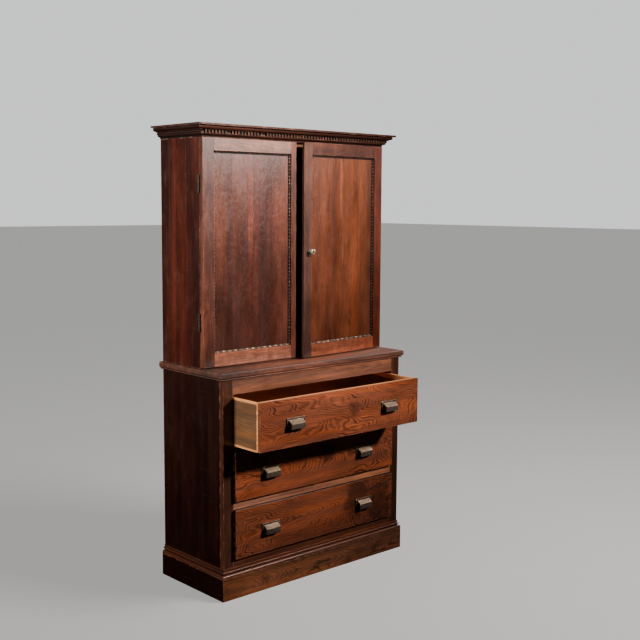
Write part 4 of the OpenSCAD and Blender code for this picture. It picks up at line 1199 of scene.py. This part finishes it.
class CABINET_OT_stage(bpy.types.Operator):
    """Lay the floor, set the lights and place the camera"""

    bl_idname = "cabinet.stage"
    bl_label = "Stage"

    def execute(self, context):
        scene = context.scene
        floor = self.lay_floor(scene)
        self.surround(scene, scene.cabinet_light)
        pieces = [piece for piece in scene.objects if piece.type == "MESH" and piece != floor]

        # The side lamps light every piece, the others only some
        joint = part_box("base_top")[1].z - 0.01
        high = [piece for piece in pieces if min(v.co.z for v in piece.data.vertices) > joint]
        lit = {
            "high_key": high, "low_key": [piece for piece in pieces if piece not in high], "overhead": [floor],
            "sheen": [piece for piece in high if piece.name.startswith(("left_", "right_"))],
        }
        for name in LAMPS:
            self.panel(scene, name, lit.get(name, pieces))
        self.place_camera(scene)
        return {"FINISHED"}

    def lay_floor(self, scene):
        """A plain floor that shows paler to the camera than it lights the pieces"""
        material, tree, surface = new_material("Plain Floor")
        paint = tuple(scene.cabinet_colours.floor)
        seen = add(tree, "ShaderNodeLightPath").outputs["Is Camera Ray"]
        put(tree, surface, {
            "Base Color": mix(tree, seen, tuple(FLOOR_DIM * x for x in paint), paint),
            "Emission Color": mix(tree, seen, (0.0, 0.0, 0.0), paint),
            "Emission Strength": FLOOR_GLOW * scene.cabinet_light.backdrop,
            "Roughness": 0.9, "Specular IOR Level": 0.1,
        })
        bm = bmesh.new()
        r = FLOOR_REACH
        bm.faces.new([bm.verts.new((x, y, 0)) for x, y in ((-r, -r), (r, -r), (r, r), (-r, r))])
        mesh = bpy.data.meshes.new("floor")
        bm.to_mesh(mesh)
        bm.free()
        mesh.materials.append(material)
        floor = bpy.data.objects.new("floor", mesh)
        scene.collection.objects.link(floor)
        return floor

    def surround(self, scene, light):
        """Even light all round, before a plain background"""
        scene.world = bpy.data.worlds.new("Studio")
        scene.world.use_nodes = True
        tree = scene.world.node_tree
        tree.nodes.clear()
        seen = add(tree, "ShaderNodeLightPath").outputs["Is Camera Ray"]
        strength = times(tree, seen, light.backdrop - light.air, light.air)
        background = first(tree, "ShaderNodeBackground", {"Color": (0.97, 0.98, 1.0), "Strength": strength})
        add(tree, "ShaderNodeOutputWorld", {0: background})

    def panel(self, scene, name, pieces):
        """A square lamp with a honeycomb of some spread, kept to the pieces it is set on"""
        place, target, size, spread = LAMPS[name]
        data = bpy.data.lights.new(name, "AREA")
        data.shape = "SQUARE"
        data.size = size
        data.energy = getattr(scene.cabinet_light, "side" if name.endswith("_side") else name)
        data.spread = math.radians(spread)
        data.color = LAMP_COLOUR
        data.use_shadow = name != "sheen"
        lamp = bpy.data.objects.new(name, data)
        lamp.location = place
        lamp.rotation_euler = (Vector(target) - Vector(place)).to_track_quat("-Z", "Y").to_euler()
        lit = bpy.data.collections.new(name)
        for piece in pieces:
            lit.objects.link(piece)
        lamp.light_linking.receiver_collection = lit
        scene.collection.objects.link(lamp)

    def place_camera(self, scene):
        data = bpy.data.cameras.new("camera")
        data.lens = LENS
        data.sensor_width = SENSOR
        camera = bpy.data.objects.new("camera", data)
        ahead = Vector((math.sin(YAW) * math.cos(PITCH), math.cos(YAW) * math.cos(PITCH), -math.sin(PITCH)))
        right = Vector((math.cos(YAW), -math.sin(YAW), 0.0))
        up = right.cross(ahead)
        x = math.cos(ROLL) * right + math.sin(ROLL) * up
        y = math.cos(ROLL) * up - math.sin(ROLL) * right
        camera.matrix_world = Matrix.Translation(CAMERA_PLACE) @ Matrix((x, y, -ahead)).transposed().to_4x4()
        scene.collection.objects.link(camera)
        scene.camera = camera


class CABINET_PT_finish(bpy.types.Panel):
    """The cabinet's steps and settings"""

    bl_idname = "CABINET_PT_finish"
    bl_label = "Cabinet on Chest"
    bl_space_type = "VIEW_3D"
    bl_region_type = "UI"
    bl_category = "Cabinet"

    def draw(self, context):
        layout = self.layout
        for step in STEPS:
            layout.operator(step.bl_idname)
        for name, group in SETTINGS.items():
            box = layout.box()
            box.label(text=name.split("_")[1].capitalize())
            for key in group.__annotations__:
                box.prop(getattr(context.scene, name), key)


STEPS = (
    CABINET_OT_case, CABINET_OT_mouldings, CABINET_OT_doors, CABINET_OT_drawers,
    CABINET_OT_metalwork, CABINET_OT_stage,
)
SETTINGS = {"cabinet_sizes": CabinetSizes, "cabinet_colours": CabinetColours, "cabinet_light": CabinetLight}


def register():
    for part in (*SETTINGS.values(), *STEPS, CABINET_PT_finish):
        bpy.utils.register_class(part)
    for name, group in SETTINGS.items():
        setattr(bpy.types.Scene, name, PointerProperty(type=group))


def unregister():
    for name in SETTINGS:
        delattr(bpy.types.Scene, name)
    for part in (CABINET_PT_finish, *reversed(STEPS), *SETTINGS.values()):
        bpy.utils.unregister_class(part)


def main():
    register()
    for step in STEPS:
        area, action = step.bl_idname.split(".")
        getattr(getattr(bpy.ops, area), action)()


if __name__ == "__main__":
    main()
